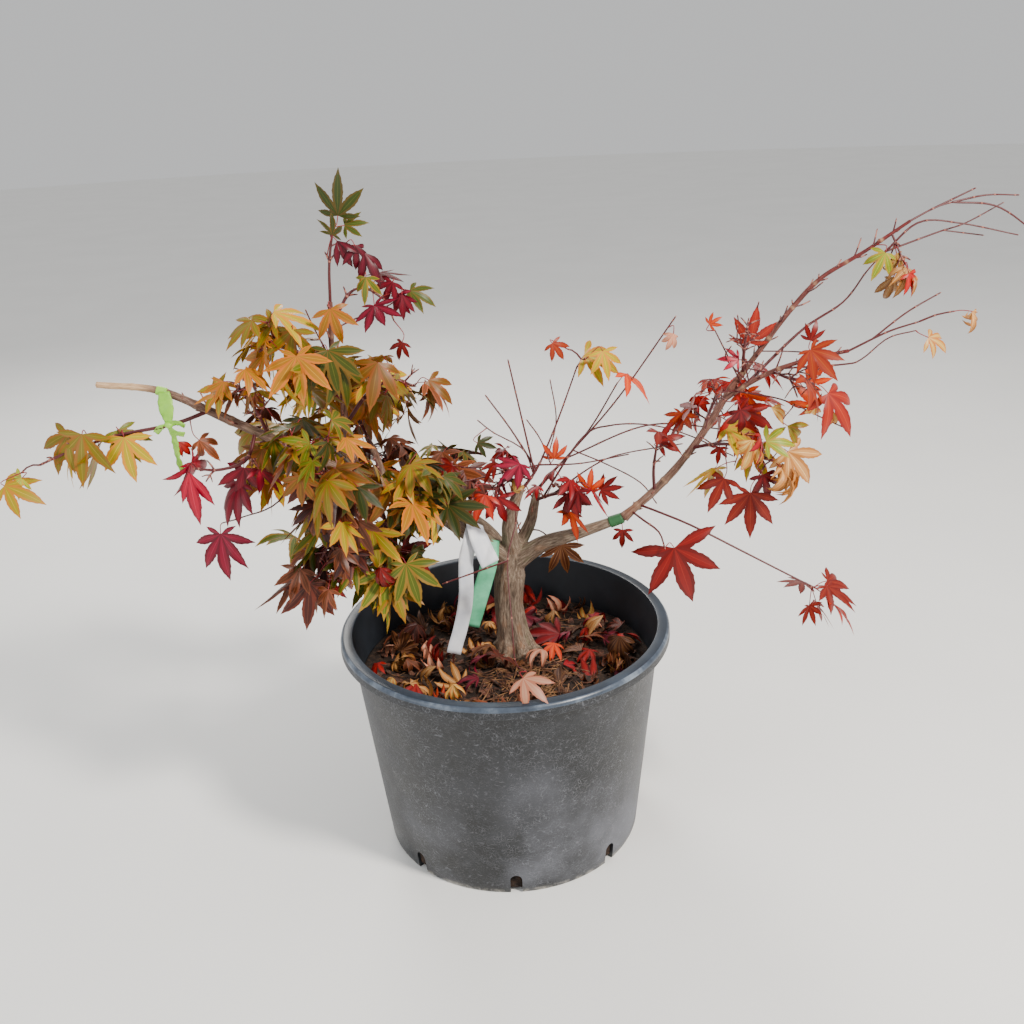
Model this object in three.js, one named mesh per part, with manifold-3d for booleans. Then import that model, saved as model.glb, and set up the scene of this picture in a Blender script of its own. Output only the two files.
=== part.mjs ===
// A Japanese maple in autumn leaf, standing in a black nursery pot.
// Units are millimetres and +Z is up. The origin is the middle of the pot's flat underside. The front faces -Y.
import * as THREE from "three";
import { mergeVertices } from "three/addons/utils/BufferGeometryUtils.js";
import Module from "manifold-3d";

const wasm = await Module();
wasm.setup();

// Clearance between pieces that touch
const GAP = 0.33;

const POT = {
  height: 300,
  rimRadius: 215,
  lipDrop: 15,
  lipWall: 3,
  shoulderRadius: 202,
  footRadius: 172,
  wall: 3.2,
  floor: 5,
  sides: 32,
};
const SLOT = { count: 8, width: 15, height: 29, depth: 22, archSteps: 2 };
const SOIL = {
  level: 236,
  rings: [1, 0.76, 0.5],
  bump: 5,
  wave: 20,
  levelRoundTrunk: 70,
  levelByWall: 2,
  rise: 38,
};
const LITTER = { count: 9, size: 34, droop: -0.2, lift: 1, nearest: 74, furthest: 150, turn: 2.4, seed: 71 };

// The trunk's middle line, its radius at the same points, and the bark ridges that widen into root flare
const TRUNK = {
  path: [[12, 30, 226], [10, 30, 262], [6, 29, 306], [10, 27, 350], [17, 26, 396]],
  radii: [30, 20.5, 18.5, 20.5, 10],
  ridges: 5,
  ridgeTwist: 3,
  ridgeAtFoot: 0.2,
  ridgeAbove: 0.05,
  flareHeight: 34,
  sides: 16,
  rings: 10,
};

// Every bough is one tapering limb. It starts inside the limb that carries it, at a share of that limb's curve.
const BOUGHS = {
  left_bough: {
    on: "trunk", at: 0.88,
    path: [[-42, 18, 419], [-75, 10, 448], [-112, 1, 476]],
    radii: [12, 8],
  },
  right_bough: {
    on: "trunk", at: 0.84,
    path: [[53, 18, 397], [100, 6, 416], [157, -2, 438]],
    radii: [12, 5.5],
  },
  left_stem: {
    on: "trunk", at: 0.93,
    path: [[12, 17, 425], [19, 12, 456], [28, 10, 480]],
    radii: [11, 6],
  },
  right_stem: {
    on: "trunk", at: 0.9,
    path: [[38, 44, 414], [45, 51, 436], [50, 56, 458]],
    radii: [8.5, 5],
  },
  back_bough: {
    on: "trunk", at: 0.86,
    path: [[-20, 70, 402], [-78, 112, 428], [-142, 130, 460]],
    radii: [8.5, 4],
  },
  left_bough_outer: {
    on: "left_bough", at: 1,
    path: [[-180, -12, 517], [-261, -24, 567], [-333, -34, 611], [-387, -42, 641], [-452, -48, 652]],
    radii: [7.6, 3.4],
  },
  left_leader: {
    on: "left_bough_outer", at: 0.17,
    path: [[-180, -2, 562], [-181, 6, 618]],
    radii: [4.8, 3.9],
  },
  left_leader_top: {
    on: "left_leader", at: 1,
    path: [[-188, 6, 668], [-184, 4, 724]],
    radii: [3.8, 2.8],
  },
  left_back_bough: {
    on: "left_bough_outer", at: 0.08,
    path: [[-150, 36, 514], [-168, 78, 536]],
    radii: [5, 3.4],
  },
  left_front_bough: {
    on: "left_bough_outer", at: 0.1,
    path: [[-148, -44, 502], [-160, -84, 506]],
    radii: [5, 3.4],
  },
  right_bough_upper: {
    on: "right_bough", at: 1,
    path: [[208, 4, 482], [249, 10, 530], [289, 16, 592]],
    radii: [5.4, 4],
  },
  right_bough_top: {
    on: "right_bough_upper", at: 1,
    path: [[328, 20, 644], [363, 24, 689], [397, 28, 722], [447, 34, 749], [500, 40, 781]],
    radii: [3.7, 1.9],
  },
  right_bough_outer: {
    on: "right_bough_upper", at: 0.95,
    path: [[330, 8, 612], [376, 0, 630], [424, -6, 640]],
    radii: [3.2, 2.2],
  },
};
const LIMB = { sides: 6, step: 40 };

// A leaf is a thin lens with five lobes, each given by its angle from the middle one and its share of that length
const LEAF = {
  lobes: [[0, 1], [40, 0.9], [86, 0.66]],
  notch: 0.44,
  thickness: 1.7,
  droop: 0.34,
  size: 60,
  sizeSpread: 0.14,
  tilt: [0.2, 1.1],
  roll: 0.25,
  faceFront: 0.1,
  upright: 0.2,
};
const PETIOLE = {
  length: 19,
  spread: 0.3,
  width: 2.2,
  rootShare: 0.4,
  rootSide: 0.4,
  angle: 52,
  endAngle: 9,
  turnSpread: 69,
  bend: 60,
};
const STEM = { sides: 4, step: 42, root: 3, tip: 2, limbShare: 0.8, leafNodes: [0.33, 0.67], lastNode: 0.97 };
const TWIG = {
  sides: 3,
  step: 40,
  root: 1.8,
  tip: 1.6,
  spread: 0.22,
  angle: 54,
  angleSpread: 10,
  turnSpread: 52,
  lift: 0.06,
  rise: 0.4,
  tries: 6,
  twoNodes: 26,
  bud: 5,
};
const SHOOT = { root: 1.8, tip: 1.2, bud: 2.4, reach: 26 };
const REACH = 100;

// Room that leaves and twigs keep from each other and from limbs, the pot and the soil.
// pastBorder is how far they may reach into a neighbour's space, where they still keep that room.
const ROOM = { pastBorder: 26, leaf: 6, twig: 4, limb: 5, twigLimb: 2.5, aboveSoil: 8, rim: 5, overRim: 1.5 };

// A mass grows on one stem. Its space is a string of balls along that stem, of radius REACH if it states no reach.
// pairs are the opposite twigs on the stem past the share bare, and twig is their length.
// leafy is the share of leaf places that hold a leaf, and rise turns the twigs up, or down below 0.
// A shoot is a long twig: where it leaves the stem, its tip, how far its middle bows up, its leaves at the tip.
const MASSES = {
  leaves_left_top: {
    on: "left_leader_top", at: 1, stem: [[-180, 2, 768], [-170, -3, 812]],
    pairs: 1, twig: 10, bare: 0.1, leafy: 1, rise: 1, seed: 11, tint: "olive",
    leafScale: 0.68, tilt: [-1.4, -1],
  },
  leaves_left_crest: {
    on: "left_leader_top", at: 0.7, stem: [[-164, 12, 730], [-144, 18, 736], [-124, 22, 722]],
    pairs: 2, twig: 12, bare: 0.1, leafy: 0.8, rise: 0.2, seed: 12, tint: "wine", leafScale: 0.85,
  },
  leaves_left_upper: {
    on: "left_leader", at: 0.9, stem: [[-206, -14, 654], [-234, -26, 682], [-256, -32, 690]],
    pairs: 3, twig: 26, bare: 0.1, leafy: 0.85, rise: 0.2, seed: 13, tint: "gold",
  },
  leaves_left_upper_right: {
    on: "left_leader", at: 0.62, stem: [[-150, 14, 612], [-120, 24, 622], [-96, 30, 612]],
    pairs: 3, twig: 26, bare: 0.1, leafy: 0.85, rise: 0.2, seed: 14, tint: "amber",
  },
  leaves_left_shoulder: {
    on: "left_bough_outer", at: 0.42, stem: [[-278, -36, 610], [-296, -46, 644]],
    pairs: 2, twig: 22, bare: 0.2, leafy: 0.8, rise: 0.2, seed: 15, tint: "russet", leafScale: 0.8,
  },
  leaves_left_heart: {
    on: "left_front_bough", at: 1, stem: [[-182, -100, 532], [-200, -108, 558], [-208, -104, 584]],
    pairs: 3, twig: 34, bare: 0, leafy: 1, rise: 0.2, seed: 16, tint: "amber",
  },
  leaves_left_inner: {
    on: "left_bough", at: 0.93, stem: [[-100, -34, 496], [-98, -64, 510], [-104, -90, 522]],
    pairs: 3, twig: 30, bare: 0.1, leafy: 1, rise: 0, seed: 17, tint: "olive",
  },
  leaves_left_low: {
    on: "left_front_bough", at: 0.75, stem: [[-180, -90, 482], [-200, -96, 460], [-212, -96, 440]],
    pairs: 3, twig: 30, bare: 0, leafy: 1, rise: -0.1, seed: 18, tint: "plum",
  },
  leaves_left_skirt: {
    on: "left_front_bough", at: 0.4, stem: [[-136, -58, 468], [-140, -74, 444], [-146, -82, 424]],
    pairs: 3, twig: 28, bare: 0.2, leafy: 1, rise: -0.1, seed: 19, tint: "olive",
  },
  leaves_left_back: {
    on: "left_back_bough", at: 1, stem: [[-180, 100, 560], [-188, 112, 590]],
    pairs: 2, twig: 36, bare: 0, leafy: 0.9, rise: 0.2, seed: 20, tint: "gold",
  },
  leaves_left_side: {
    on: "left_bough_outer", at: 0.37, stem: [[-256, 16, 546], [-280, 48, 534]],
    pairs: 2, twig: 30, bare: 0.1, leafy: 0.95, rise: 0, seed: 22, tint: "amber",
  },
  leaves_left_red: {
    on: "left_bough_outer", at: 0.46, stem: [[-292, -56, 556], [-322, -64, 548], [-350, -68, 552]],
    pairs: 2, twig: 16, bare: 0.05, leafy: 0.9, rise: -0.3, seed: 23, tint: "rose",
  },
  leaves_left_tip: {
    on: "left_bough_outer", at: 0.6,
    stem: [[-372, -56, 603], [-436, -60, 594], [-490, -68, 580], [-524, -76, 568]],
    pairs: 3, twig: 14, bare: 0.42, leafy: 1, rise: -0.1, seed: 24, tint: "gold",
  },
  leaves_back: {
    on: "back_bough", at: 1, stem: [[-166, 136, 470], [-186, 136, 470]],
    pairs: 2, twig: 34, bare: 0, leafy: 0.9, rise: 0.1, seed: 29, tint: "russet",
  },
  leaves_back_low: {
    on: "back_bough", at: 0.62, stem: [[-78, 132, 446], [-76, 156, 464]],
    pairs: 3, twig: 30, bare: 0, leafy: 1, rise: 0, seed: 21, tint: "plum",
  },
  leaves_centre: {
    on: "left_stem", at: 1, stem: [[20, 0, 494], [4, -8, 500]],
    pairs: 3, twig: 18, bare: 0.1, leafy: 1, rise: 0, seed: 25, tint: "scarlet", leafScale: 0.8,
  },
  leaves_centre_right: {
    on: "right_stem", at: 0.8, stem: [[64, 34, 458], [84, 20, 468], [98, 10, 480]],
    pairs: 3, twig: 18, bare: 0.1, leafy: 1, rise: 0.2, seed: 28, tint: "crimson", leafScale: 0.8,
  },
  twigs_centre_left: {
    on: "left_stem", at: 0.85, stem: [[44, 18, 492], [56, 24, 510]],
    reach: 30, pairs: 0, leafy: 1, seed: 26, tint: "scarlet", ends: 0,
    shoots: [
      [0.6, [20, 34, 638], 0, 0],
      [0.7, [-10, 44, 592], 4, 0],
      [1, [104, 38, 624], -4, 1],
      [0.4, [-46, 40, 500], 6, 1],
    ],
  },
  twigs_centre_right: {
    on: "right_stem", at: 1, stem: [[72, 58, 482], [94, 58, 504]],
    reach: 30, pairs: 0, leafy: 1, seed: 27, tint: "orange", ends: 0,
    shoots: [
      [1, [153, 30, 604], -6, 1],
      [0.7, [218, -4, 690], -10, 0],
      [0.9, [306, 66, 524], 26, 1],
    ],
  },
  spray_front: {
    on: "left_stem", at: 0.7,
    stem: [[20, -26, 446], [8, -56, 410], [10, -100, 350], [12, -148, 322], [24, -172, 322]],
    pairs: 0, leafy: 1, seed: 30, tint: "blush",
    leafScale: 0.7, ends: 1, tilt: [-0.1, 0.05],
    shoots: [[0.4, [-72, -66, 388], 0, 0]],
  },
  leaves_right_hanging: {
    on: "right_bough_upper", at: 0.06, stem: [[178, -28, 444], [195, -44, 434], [200, -62, 420]],
    pairs: 0, leafy: 1, seed: 31, tint: "crimson",
    leafScale: 1.1, ends: 1, tilt: [1, 1.3],
  },
  twig_right_arching: {
    on: "right_bough_upper", at: 0.12,
    stem: [[198, -24, 452], [236, -44, 440], [292, -60, 412], [342, -72, 386], [384, -80, 364]],
    pairs: 1, twig: 12, bare: 0.94, leafy: 1, rise: -0.8, seed: 32, tint: "coral", leafScale: 0.8,
  },
  leaves_right_inner: {
    on: "right_bough_upper", at: 0.25, stem: [[192, -16, 506], [194, -26, 540]],
    pairs: 1, twig: 24, bare: 0.3, leafy: 0.8, rise: 0.1, seed: 33, tint: "orange", leafScale: 0.85,
  },
  leaves_right_heart: {
    on: "right_bough_outer", at: 0.4, stem: [[350, -20, 614], [378, -36, 610]],
    pairs: 3, twig: 24, bare: 0.1, leafy: 1, rise: -0.1, seed: 34, tint: "orange",
  },
  leaves_right_low: {
    on: "right_bough_upper", at: 0.62, stem: [[268, -20, 536], [300, -36, 536], [328, -44, 520]],
    pairs: 3, twig: 26, bare: 0.1, leafy: 1, rise: -0.3, seed: 35, tint: "crimson",
  },
  leaves_right_upper: {
    on: "right_bough_top", at: 0.08, stem: [[300, -4, 646], [300, -16, 676]],
    pairs: 3, twig: 24, bare: 0.15, leafy: 1, rise: 0.1, seed: 36, tint: "rose",
  },
  leaves_right_back: {
    on: "right_bough_upper", at: 0.72, stem: [[276, 56, 562], [300, 92, 576]],
    pairs: 3, twig: 32, bare: 0.1, leafy: 0.9, rise: 0, seed: 37, tint: "scarlet",
  },
  leaves_right_dried: {
    on: "right_bough_top", at: 0.92, stem: [[484, 28, 752], [492, 22, 734]],
    pairs: 2, twig: 12, bare: 0.1, leafy: 0.9, rise: -0.6, seed: 38, tint: "scarlet", leafScale: 0.7,
  },
  twigs_right_top: {
    on: "right_bough_top", at: 1, stem: [[530, 46, 794], [552, 50, 799]],
    reach: 30, pairs: 0, leafy: 1, seed: 39, tint: "straw", ends: 0,
    shoots: [
      [1, [636, 64, 802], 4, 0],
      [1, [660, 50, 756], 14, 0],
      [0.4, [584, 66, 812], 0, 0],
    ],
  },
  twigs_right_outer: {
    on: "right_bough_outer", at: 1, stem: [[466, -12, 662], [500, -18, 674]],
    reach: 30, pairs: 0, leafy: 1, seed: 40, tint: "straw", ends: 0, leafScale: 0.7,
    shoots: [
      [1, [536, -26, 686], 2, 1],
      [0.3, [530, 4, 702], 4, 0],
    ],
  },
};

// Blank plant labels: strips through a few points, with their width along the bough that carries them
const LABELS = {
  across: [0.87, 0.12, -0.48],
  thickness: 0.8,
  white: {
    width: 20,
    tongue: [
      [-36, 38, 402], [-36, 33, 424], [-33, 16, 432],
      [-29, -2, 424], [-20, -12, 402], [-14, -16, 388],
    ],
    tail: [[-33, 16, 432], [-38, -4, 418], [-44, -12, 392], [-50, -18, 340], [-67, -26, 270]],
  },
  green: { width: 22, path: [[-12, 16, 408], [-15, -1, 388], [-28, -8, 346], [-44, -12, 298]] },
};
const TIES = {
  right: { on: "right_bough", at: [0.9, 0.99], thickness: 1.4 },
  left: {
    on: "left_bough_outer", at: [0.765, 0.8], thickness: 1.2, width: 9,
    tail: [[0, -5.8, 3], [-2, -5, -40], [-16, -4, -92]],
  },
};

const COLOURS = {
  pot: 0x3a3e44,
  soil: 0x2e2019,
  bark: 0x7b6654,
  white: 0xe9ebf0,
  green: 0x6fc79a,
  ribbon: 0xa9d65c,
  tape: 0x4f8b4f,
  olive: 0x7a7a2c,
  gold: 0xc9992c,
  amber: 0xb9762e,
  russet: 0x9c4f2c,
  plum: 0x6d3a2e,
  rose: 0xc83247,
  wine: 0x8a2235,
  scarlet: 0xd0392c,
  crimson: 0xb81f2c,
  orange: 0xe2672b,
  coral: 0xd9543c,
  blush: 0xe89b84,
  straw: 0xc9a377,
};

// A repeatable stream of numbers from 0 to 1
function random(seed) {
  let state = Math.imul(seed, 2654435761) >>> 0;
  return () => {
    state = (state + 0x6d2b79f5) >>> 0;
    let mixed = Math.imul(state ^ (state >>> 15), state | 1);
    mixed ^= mixed + Math.imul(mixed ^ (mixed >>> 7), mixed | 61);
    return ((mixed ^ (mixed >>> 14)) >>> 0) / 4294967296;
  };
}

const vector = (point) => new THREE.Vector3(...point);
const mix = (from, to, share) => from + (to - from) * share;
const radians = (degrees) => THREE.MathUtils.degToRad(degrees);
const curveThrough = (points) => new THREE.CatmullRomCurve3(points.map(vector), false, "catmullrom", 0.5);

// The value of a list of numbers at a share of its length
function along(values, share) {
  const place = Math.min(Math.max(share, 0), 1) * (values.length - 1);
  const index = Math.min(Math.floor(place), values.length - 2);
  return mix(values[index], values[index + 1], place - index);
}

// A closed solid from a geometry whose faces point out
function solid(geometry) {
  geometry.deleteAttribute("normal");
  geometry.deleteAttribute("uv");
  const merged = mergeVertices(geometry);
  const corners = Array.from(merged.index.array);
  const faces = [];
  for (let i = 0; i < corners.length; i += 3) {
    const [a, b, c] = corners.slice(i, i + 3);
    if (a !== b && b !== c && c !== a) faces.push(a, b, c);
  }
  const vertProperties = new Float32Array(merged.attributes.position.array);
  return new wasm.Manifold(new wasm.Mesh({ numProp: 3, vertProperties, triVerts: new Uint32Array(faces) }));
}

// The outer surface of the largest joined piece, which leaves out loose scraps and sealed hollows
function largest(body) {
  return body.decompose().reduce((best, piece) => (piece.volume() > best.volume() ? piece : best));
}

function geometryOf(body) {
  const mesh = body.getMesh();
  const geometry = new THREE.BufferGeometry();
  geometry.setAttribute("position", new THREE.BufferAttribute(mesh.vertProperties, 3));
  geometry.setIndex(new THREE.BufferAttribute(mesh.triVerts, 1));
  return geometry;
}

// The world axis that a curve runs along least
function quietAxis(curve) {
  const tangents = [0, 0.25, 0.5, 0.75, 1].map((t) => curve.getTangent(t));
  const axes = [vector([1, 0, 0]), vector([0, 1, 0]), vector([0, 0, 1])];
  const most = axes.map((axis) => Math.max(...tangents.map((tangent) => Math.abs(tangent.dot(axis)))));
  return axes[most.indexOf(Math.min(...most))];
}

// A place on a curve, with its heading and two directions square to it
function frameAt(curve, t, axis) {
  const ahead = curve.getTangent(t);
  const side = new THREE.Vector3().crossVectors(axis, ahead).normalize();
  const over = new THREE.Vector3().crossVectors(side, ahead);
  return { point: curve.getPoint(t), ahead, side, over };
}

// Bends a geometry that stands along Y, from -0.5 to 0.5, to follow a curve. scaleAt gives its radius there.
function bend(geometry, curve, axis, scaleAt) {
  const position = geometry.attributes.position;
  for (let i = 0; i < position.count; i += 1) {
    const [x, y, z] = [position.getX(i), position.getY(i), position.getZ(i)];
    const t = THREE.MathUtils.clamp(y + 0.5, 0, 1);
    const { point, side, over } = frameAt(curve, t, axis);
    const scale = scaleAt(t, Math.atan2(z, x));
    point.addScaledVector(side, x * scale).addScaledVector(over, z * scale);
    position.setXYZ(i, point.x, point.y, point.z);
  }
  return geometry;
}

function tube(curve, radii, sides, step) {
  const rings = Math.max(1, Math.round(curve.getLength() / step));
  const cylinder = new THREE.CylinderGeometry(1, 1, 1, sides, rings);
  return solid(bend(cylinder, curve, quietAxis(curve), (t) => along(radii, t)));
}

// A flat strip along a curve, with its width along a given direction
function strip(points, width, across) {
  const curve = curveThrough(points);
  const box = new THREE.BoxGeometry(width, 1, LABELS.thickness, 1, points.length + 1, 1);
  const axis = new THREE.Vector3().crossVectors(vector(across), curve.getTangent(0.5)).normalize();
  return solid(bend(box, curve, axis, () => 1));
}

const limbs = {};

// A limb's solid, and the same limb grown by a clearance all round, for cutting what meets it
function makeLimb(curve, radii) {
  const axis = quietAxis(curve);
  const ends = [curve.getPoint(0), curve.getPoint(1)];
  const points = curve.points.map((point) => point.toArray());
  points[0] = ends[0].addScaledVector(curve.getTangent(0), -GAP).toArray();
  points[points.length - 1] = ends[1].addScaledVector(curve.getTangent(1), GAP).toArray();
  const wider = curveThrough(points);
  const rings = Math.max(1, Math.round(curve.getLength() / LIMB.step));
  const shape = (path, extra) => {
    const cylinder = new THREE.CylinderGeometry(1, 1, 1, LIMB.sides, rings);
    return solid(bend(cylinder, path, axis, (t) => along(radii, t) + extra));
  };
  return { curve, radii, body: shape(curve, 0), grown: shape(wider, GAP) };
}

// The trunk has ridged bark that spreads into root flare at the soil, and a flat cut at its foot
function makeTrunk() {
  const curve = curveThrough(TRUNK.path);
  const axis = quietAxis(curve);
  const shape = (extra) => {
    const cylinder = new THREE.CylinderGeometry(1, 1, 1, TRUNK.sides, TRUNK.rings);
    const scaleAt = (t, angle) => {
      const height = curve.getPoint(t).z - SOIL.level;
      const flare = Math.exp(-Math.max(height, 0) / TRUNK.flareHeight);
      const depth = mix(TRUNK.ridgeAbove, TRUNK.ridgeAtFoot, flare);
      const ridge = depth * Math.cos(TRUNK.ridges * angle + TRUNK.ridgeTwist * t);
      return along(TRUNK.radii, t) * (1 + ridge) + extra;
    };
    return solid(bend(cylinder, curve, axis, scaleAt));
  };
  const below = new THREE.BoxGeometry(200, 200, 60);
  below.translate(TRUNK.path[0][0], TRUNK.path[0][1], SOIL.level + GAP - 30);
  return { curve, radii: TRUNK.radii, body: shape(0).subtract(solid(below)), grown: shape(GAP) };
}

function makeBoughs() {
  limbs.trunk = makeTrunk();
  for (const [name, { on, at, path, radii }] of Object.entries(BOUGHS)) {
    const start = limbs[on].curve.getPoint(at).toArray();
    const limb = makeLimb(curveThrough([start, ...path]), radii);
    for (const other of Object.values(limbs)) limb.body = limb.body.subtract(other.grown);
    limb.body = largest(limb.body);
    limbs[name] = limb;
  }
}

// The rim of a blade, whose petiole meets it at the origin. The middle lobe runs along +Y, and +Z is up.
function bladeRim(size, droop) {
  const [middle, ...sides] = LEAF.lobes;
  const lobes = [middle, ...sides, ...sides.map(([angle, length]) => [-angle, length])];
  lobes.sort((a, b) => a[0] - b[0]);
  const notches = lobes.slice(1).map(([angle, length], i) => {
    const [before, lengthBefore] = lobes[i];
    return [(angle + before) / 2, LEAF.notch * Math.min(length, lengthBefore)];
  });
  const rim = [...lobes, ...notches].sort((a, b) => a[0] - b[0]);
  return rim.map(([angle, length]) => {
    const turn = radians(angle);
    const [x, y] = [-Math.sin(turn) * length * size, Math.cos(turn) * length * size];
    return vector([x, y, -droop * length * length * size]);
  });
}

// A blade as a thin lens. Its petiole is a slim prism, drawn out of the blade's base to the start point.
function leafSolid(size, droop, matrix, start) {
  const half = { width: PETIOLE.width / 2, thickness: LEAF.thickness / 2 };
  const base = [1, -1].map((side) => vector([side * half.width, -half.width, 0]));
  const rim = [base[0], ...bladeRim(size, droop), base[1]];
  const faces = [];
  const last = rim.length - 1;
  const [top, bottom, foot] = [last + 1, last + 2, last + 3];
  for (let i = 0; i < last; i += 1) faces.push(top, i, i + 1, bottom, i + 1, i);
  const middles = [vector([0, 0, half.thickness]), vector([0, 0, -half.thickness])];
  const corners = [...rim, ...middles].map((point) => point.applyMatrix4(matrix));
  const joint = new THREE.Vector3().setFromMatrixPosition(matrix);
  const face = new THREE.Vector3().setFromMatrixColumn(matrix, 2);
  const ends = [[top, last, 0], [bottom, 0, last]];
  if (start && start.clone().sub(joint).dot(face) < 0) ends.reverse();
  const [neck, closed] = ends;
  faces.push(...closed);
  if (start) {
    const middle = neck.reduce((sum, i) => sum.add(corners[i]), new THREE.Vector3()).divideScalar(3);
    const drawn = neck.map((i) => {
      return corners[i].clone().sub(middle).multiplyScalar(PETIOLE.rootShare).add(start);
    });
    corners.push(...drawn);
    for (let i = 0; i < 3; i += 1) {
      const next = (i + 1) % 3;
      faces.push(neck[i], neck[next], foot + next, neck[i], foot + next, foot + i);
    }
    faces.push(foot, foot + 1, foot + 2);
  } else {
    faces.push(...neck);
  }
  const geometry = new THREE.BufferGeometry().setFromPoints(corners);
  geometry.setIndex(faces);
  return solid(geometry);
}

// Places a blade at a point, with its middle lobe along ahead and its upper face towards up
function bladeMatrix(point, ahead, up) {
  const lobe = ahead.clone().normalize();
  const face = up.clone().addScaledVector(lobe, -up.dot(lobe)).normalize();
  const across = new THREE.Vector3().crossVectors(lobe, face);
  return new THREE.Matrix4().makeBasis(across, lobe, face).setPosition(point);
}

const BALL_STEP = 26;
const POINTS_ON_STEM = 24;

// The string of balls that a mass may fill
function ballsOf(curve, reach) {
  const count = Math.max(2, Math.round(curve.getLength() / BALL_STEP) + 1);
  return Array.from({ length: count }, (_, i) => ({ centre: curve.getPoint(i / (count - 1)), reach }));
}

// Short straight stretches along a curve, each with its radius, that other pieces keep clear of
function stretchesOf(curve, radii, owner) {
  const count = Math.max(2, Math.round(curve.getLength() / 12));
  return Array.from({ length: count }, (_, i) => ({
    owner,
    line: new THREE.Line3(curve.getPoint(i / count), curve.getPoint((i + 1) / count)),
    radius: along(radii, i / count),
  }));
}

const nearest = new THREE.Vector3();
function distanceTo(stretch, point) {
  stretch.line.closestPointToPoint(point, true, nearest);
  return nearest.distanceTo(point) - stretch.radius;
}

// The ball of a mass that holds a point deepest
function deepestBall(balls, point) {
  let best = null;
  for (const ball of balls) {
    const power = point.distanceToSquared(ball.centre) - ball.reach * ball.reach;
    if (!best || power < best.power) best = { ball, power };
  }
  return best;
}

// Lays out every stem and shoot first, so that each mass knows its neighbours' space
function planMasses() {
  return Object.entries(MASSES).map(([name, spec]) => {
    const parent = limbs[spec.on];
    const curve = curveThrough([parent.curve.getPoint(spec.at).toArray(), ...spec.stem]);
    const root = Math.min(STEM.root, STEM.limbShare * along(parent.radii, spec.at));
    const radii = [root, Math.min(STEM.tip, root)];
    const shoots = (spec.shoots ?? []).map(([at, tip, bow, leaves]) => {
      const start = curve.getPoint(at);
      const middle = start.clone().lerp(vector(tip), 0.5).add(vector([0, 0, bow]));
      const path = curveThrough([start.toArray(), middle.toArray(), tip]);
      return { curve: path, radii: [SHOOT.root, SHOOT.tip], leaves };
    });
    const balls = ballsOf(curve, spec.reach ?? REACH);
    balls.push(...shoots.flatMap((shoot) => ballsOf(shoot.curve, SHOOT.reach)));
    const leafyTips = shoots.filter((shoot) => shoot.leaves).map((shoot) => shoot.curve.getPoint(1));
    balls.push(...leafyTips.map((centre) => ({ centre, reach: REACH })));
    return { name, spec, curve, radii, shoots, balls };
  });
}

// Whether a point has room: inside its own mass's space, and clear of limbs, stems, the pot and the soil
function hasRoom(point, mass, masses, obstacles, limbRoom) {
  const own = deepestBall(mass.balls, point);
  if (own.power > 0) return false;
  for (const other of masses) {
    if (other === mass) continue;
    const theirs = deepestBall(other.balls, point);
    const between = theirs.ball.centre.distanceTo(own.ball.centre);
    if (theirs.power - own.power < -2 * between * ROOM.pastBorder) return false;
  }
  for (const stretch of obstacles) {
    if (stretch.owner !== mass.name && distanceTo(stretch, point) < limbRoom) return false;
  }
  const fromAxis = Math.hypot(point.x, point.y);
  const inPot = fromAxis < POT.shoulderRadius - POT.wall - ROOM.rim;
  const byRim = fromAxis < POT.rimRadius + ROOM.rim;
  if (inPot) return point.z > SOIL.level + ROOM.aboveSoil;
  return !byRim || point.z > POT.height + ROOM.overRim;
}

// Points of a placed leaf or twig, with a ball round them that makes the test for nearness quick
function cluster(points) {
  const ball = new THREE.Sphere().setFromPoints(points);
  return { points, ball };
}

function isNear(points, clusters, room) {
  const { ball } = cluster(points);
  const around = clusters.filter((other) => other.ball.distanceToPoint(ball.center) < ball.radius + room);
  const others = around.flatMap((other) => other.points);
  return points.some((point) => others.some((other) => other.distanceTo(point) < room));
}

const meets = (piece, bodies) => bodies.some((body) => piece.intersect(body).volume() > 0);

// A leaf on its petiole, or null where it has no room
function leafAt(start, heading, size, tilt, growth) {
  const { roomFor, blades, wood, finished, random01 } = growth;
  const length = PETIOLE.length * (1 + PETIOLE.spread * (2 * random01() - 1));
  const joint = start.clone().addScaledVector(heading, length);
  const outward = vector([heading.x, heading.y, 0]);
  if (outward.length() < LEAF.upright) outward.set(random01() - 0.5, random01() - 0.5, 0);
  const lobe = outward.normalize().multiplyScalar(Math.cos(tilt)).add(vector([0, 0, -Math.sin(tilt)]));
  const turn = lobe.angleTo(heading);
  if (turn > radians(PETIOLE.bend)) lobe.lerp(heading, 1 - radians(PETIOLE.bend) / turn).normalize();
  const [rollX, rollY] = [random01(), random01()].map((value) => LEAF.roll * (2 * value - 1));
  const up = vector([rollX, rollY - LEAF.faceFront, 1]);
  const matrix = bladeMatrix(joint, lobe, up);
  const rim = bladeRim(size, LEAF.droop).map((point) => point.applyMatrix4(matrix));
  const quarters = [1, 0.75, 0.5, 0.25];
  const samples = rim.flatMap((point) => quarters.map((share) => joint.clone().lerp(point, share)));
  const stalk = [0.3, 0.5, 0.7, 0.9].map((share) => start.clone().lerp(joint, share));
  if (!samples.every((point) => roomFor(point, ROOM.limb))) return null;
  if (!stalk.every((point) => roomFor(point, ROOM.twigLimb))) return null;
  if (isNear(samples, blades, ROOM.leaf) || isNear(samples, wood, ROOM.leaf)) return null;
  if (isNear(stalk, blades, ROOM.twig)) return null;
  const leaf = leafSolid(size, LEAF.droop, matrix, start);
  if (meets(leaf, finished)) return null;
  blades.push(cluster(samples));
  return leaf;
}

// A direction that leaves a curve at an angle, turned round it
function branchOff({ ahead, side, over }, around, angle) {
  const heading = ahead.clone().multiplyScalar(Math.cos(angle));
  heading.addScaledVector(side, Math.cos(around) * Math.sin(angle));
  return heading.addScaledVector(over, Math.sin(around) * Math.sin(angle));
}

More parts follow.
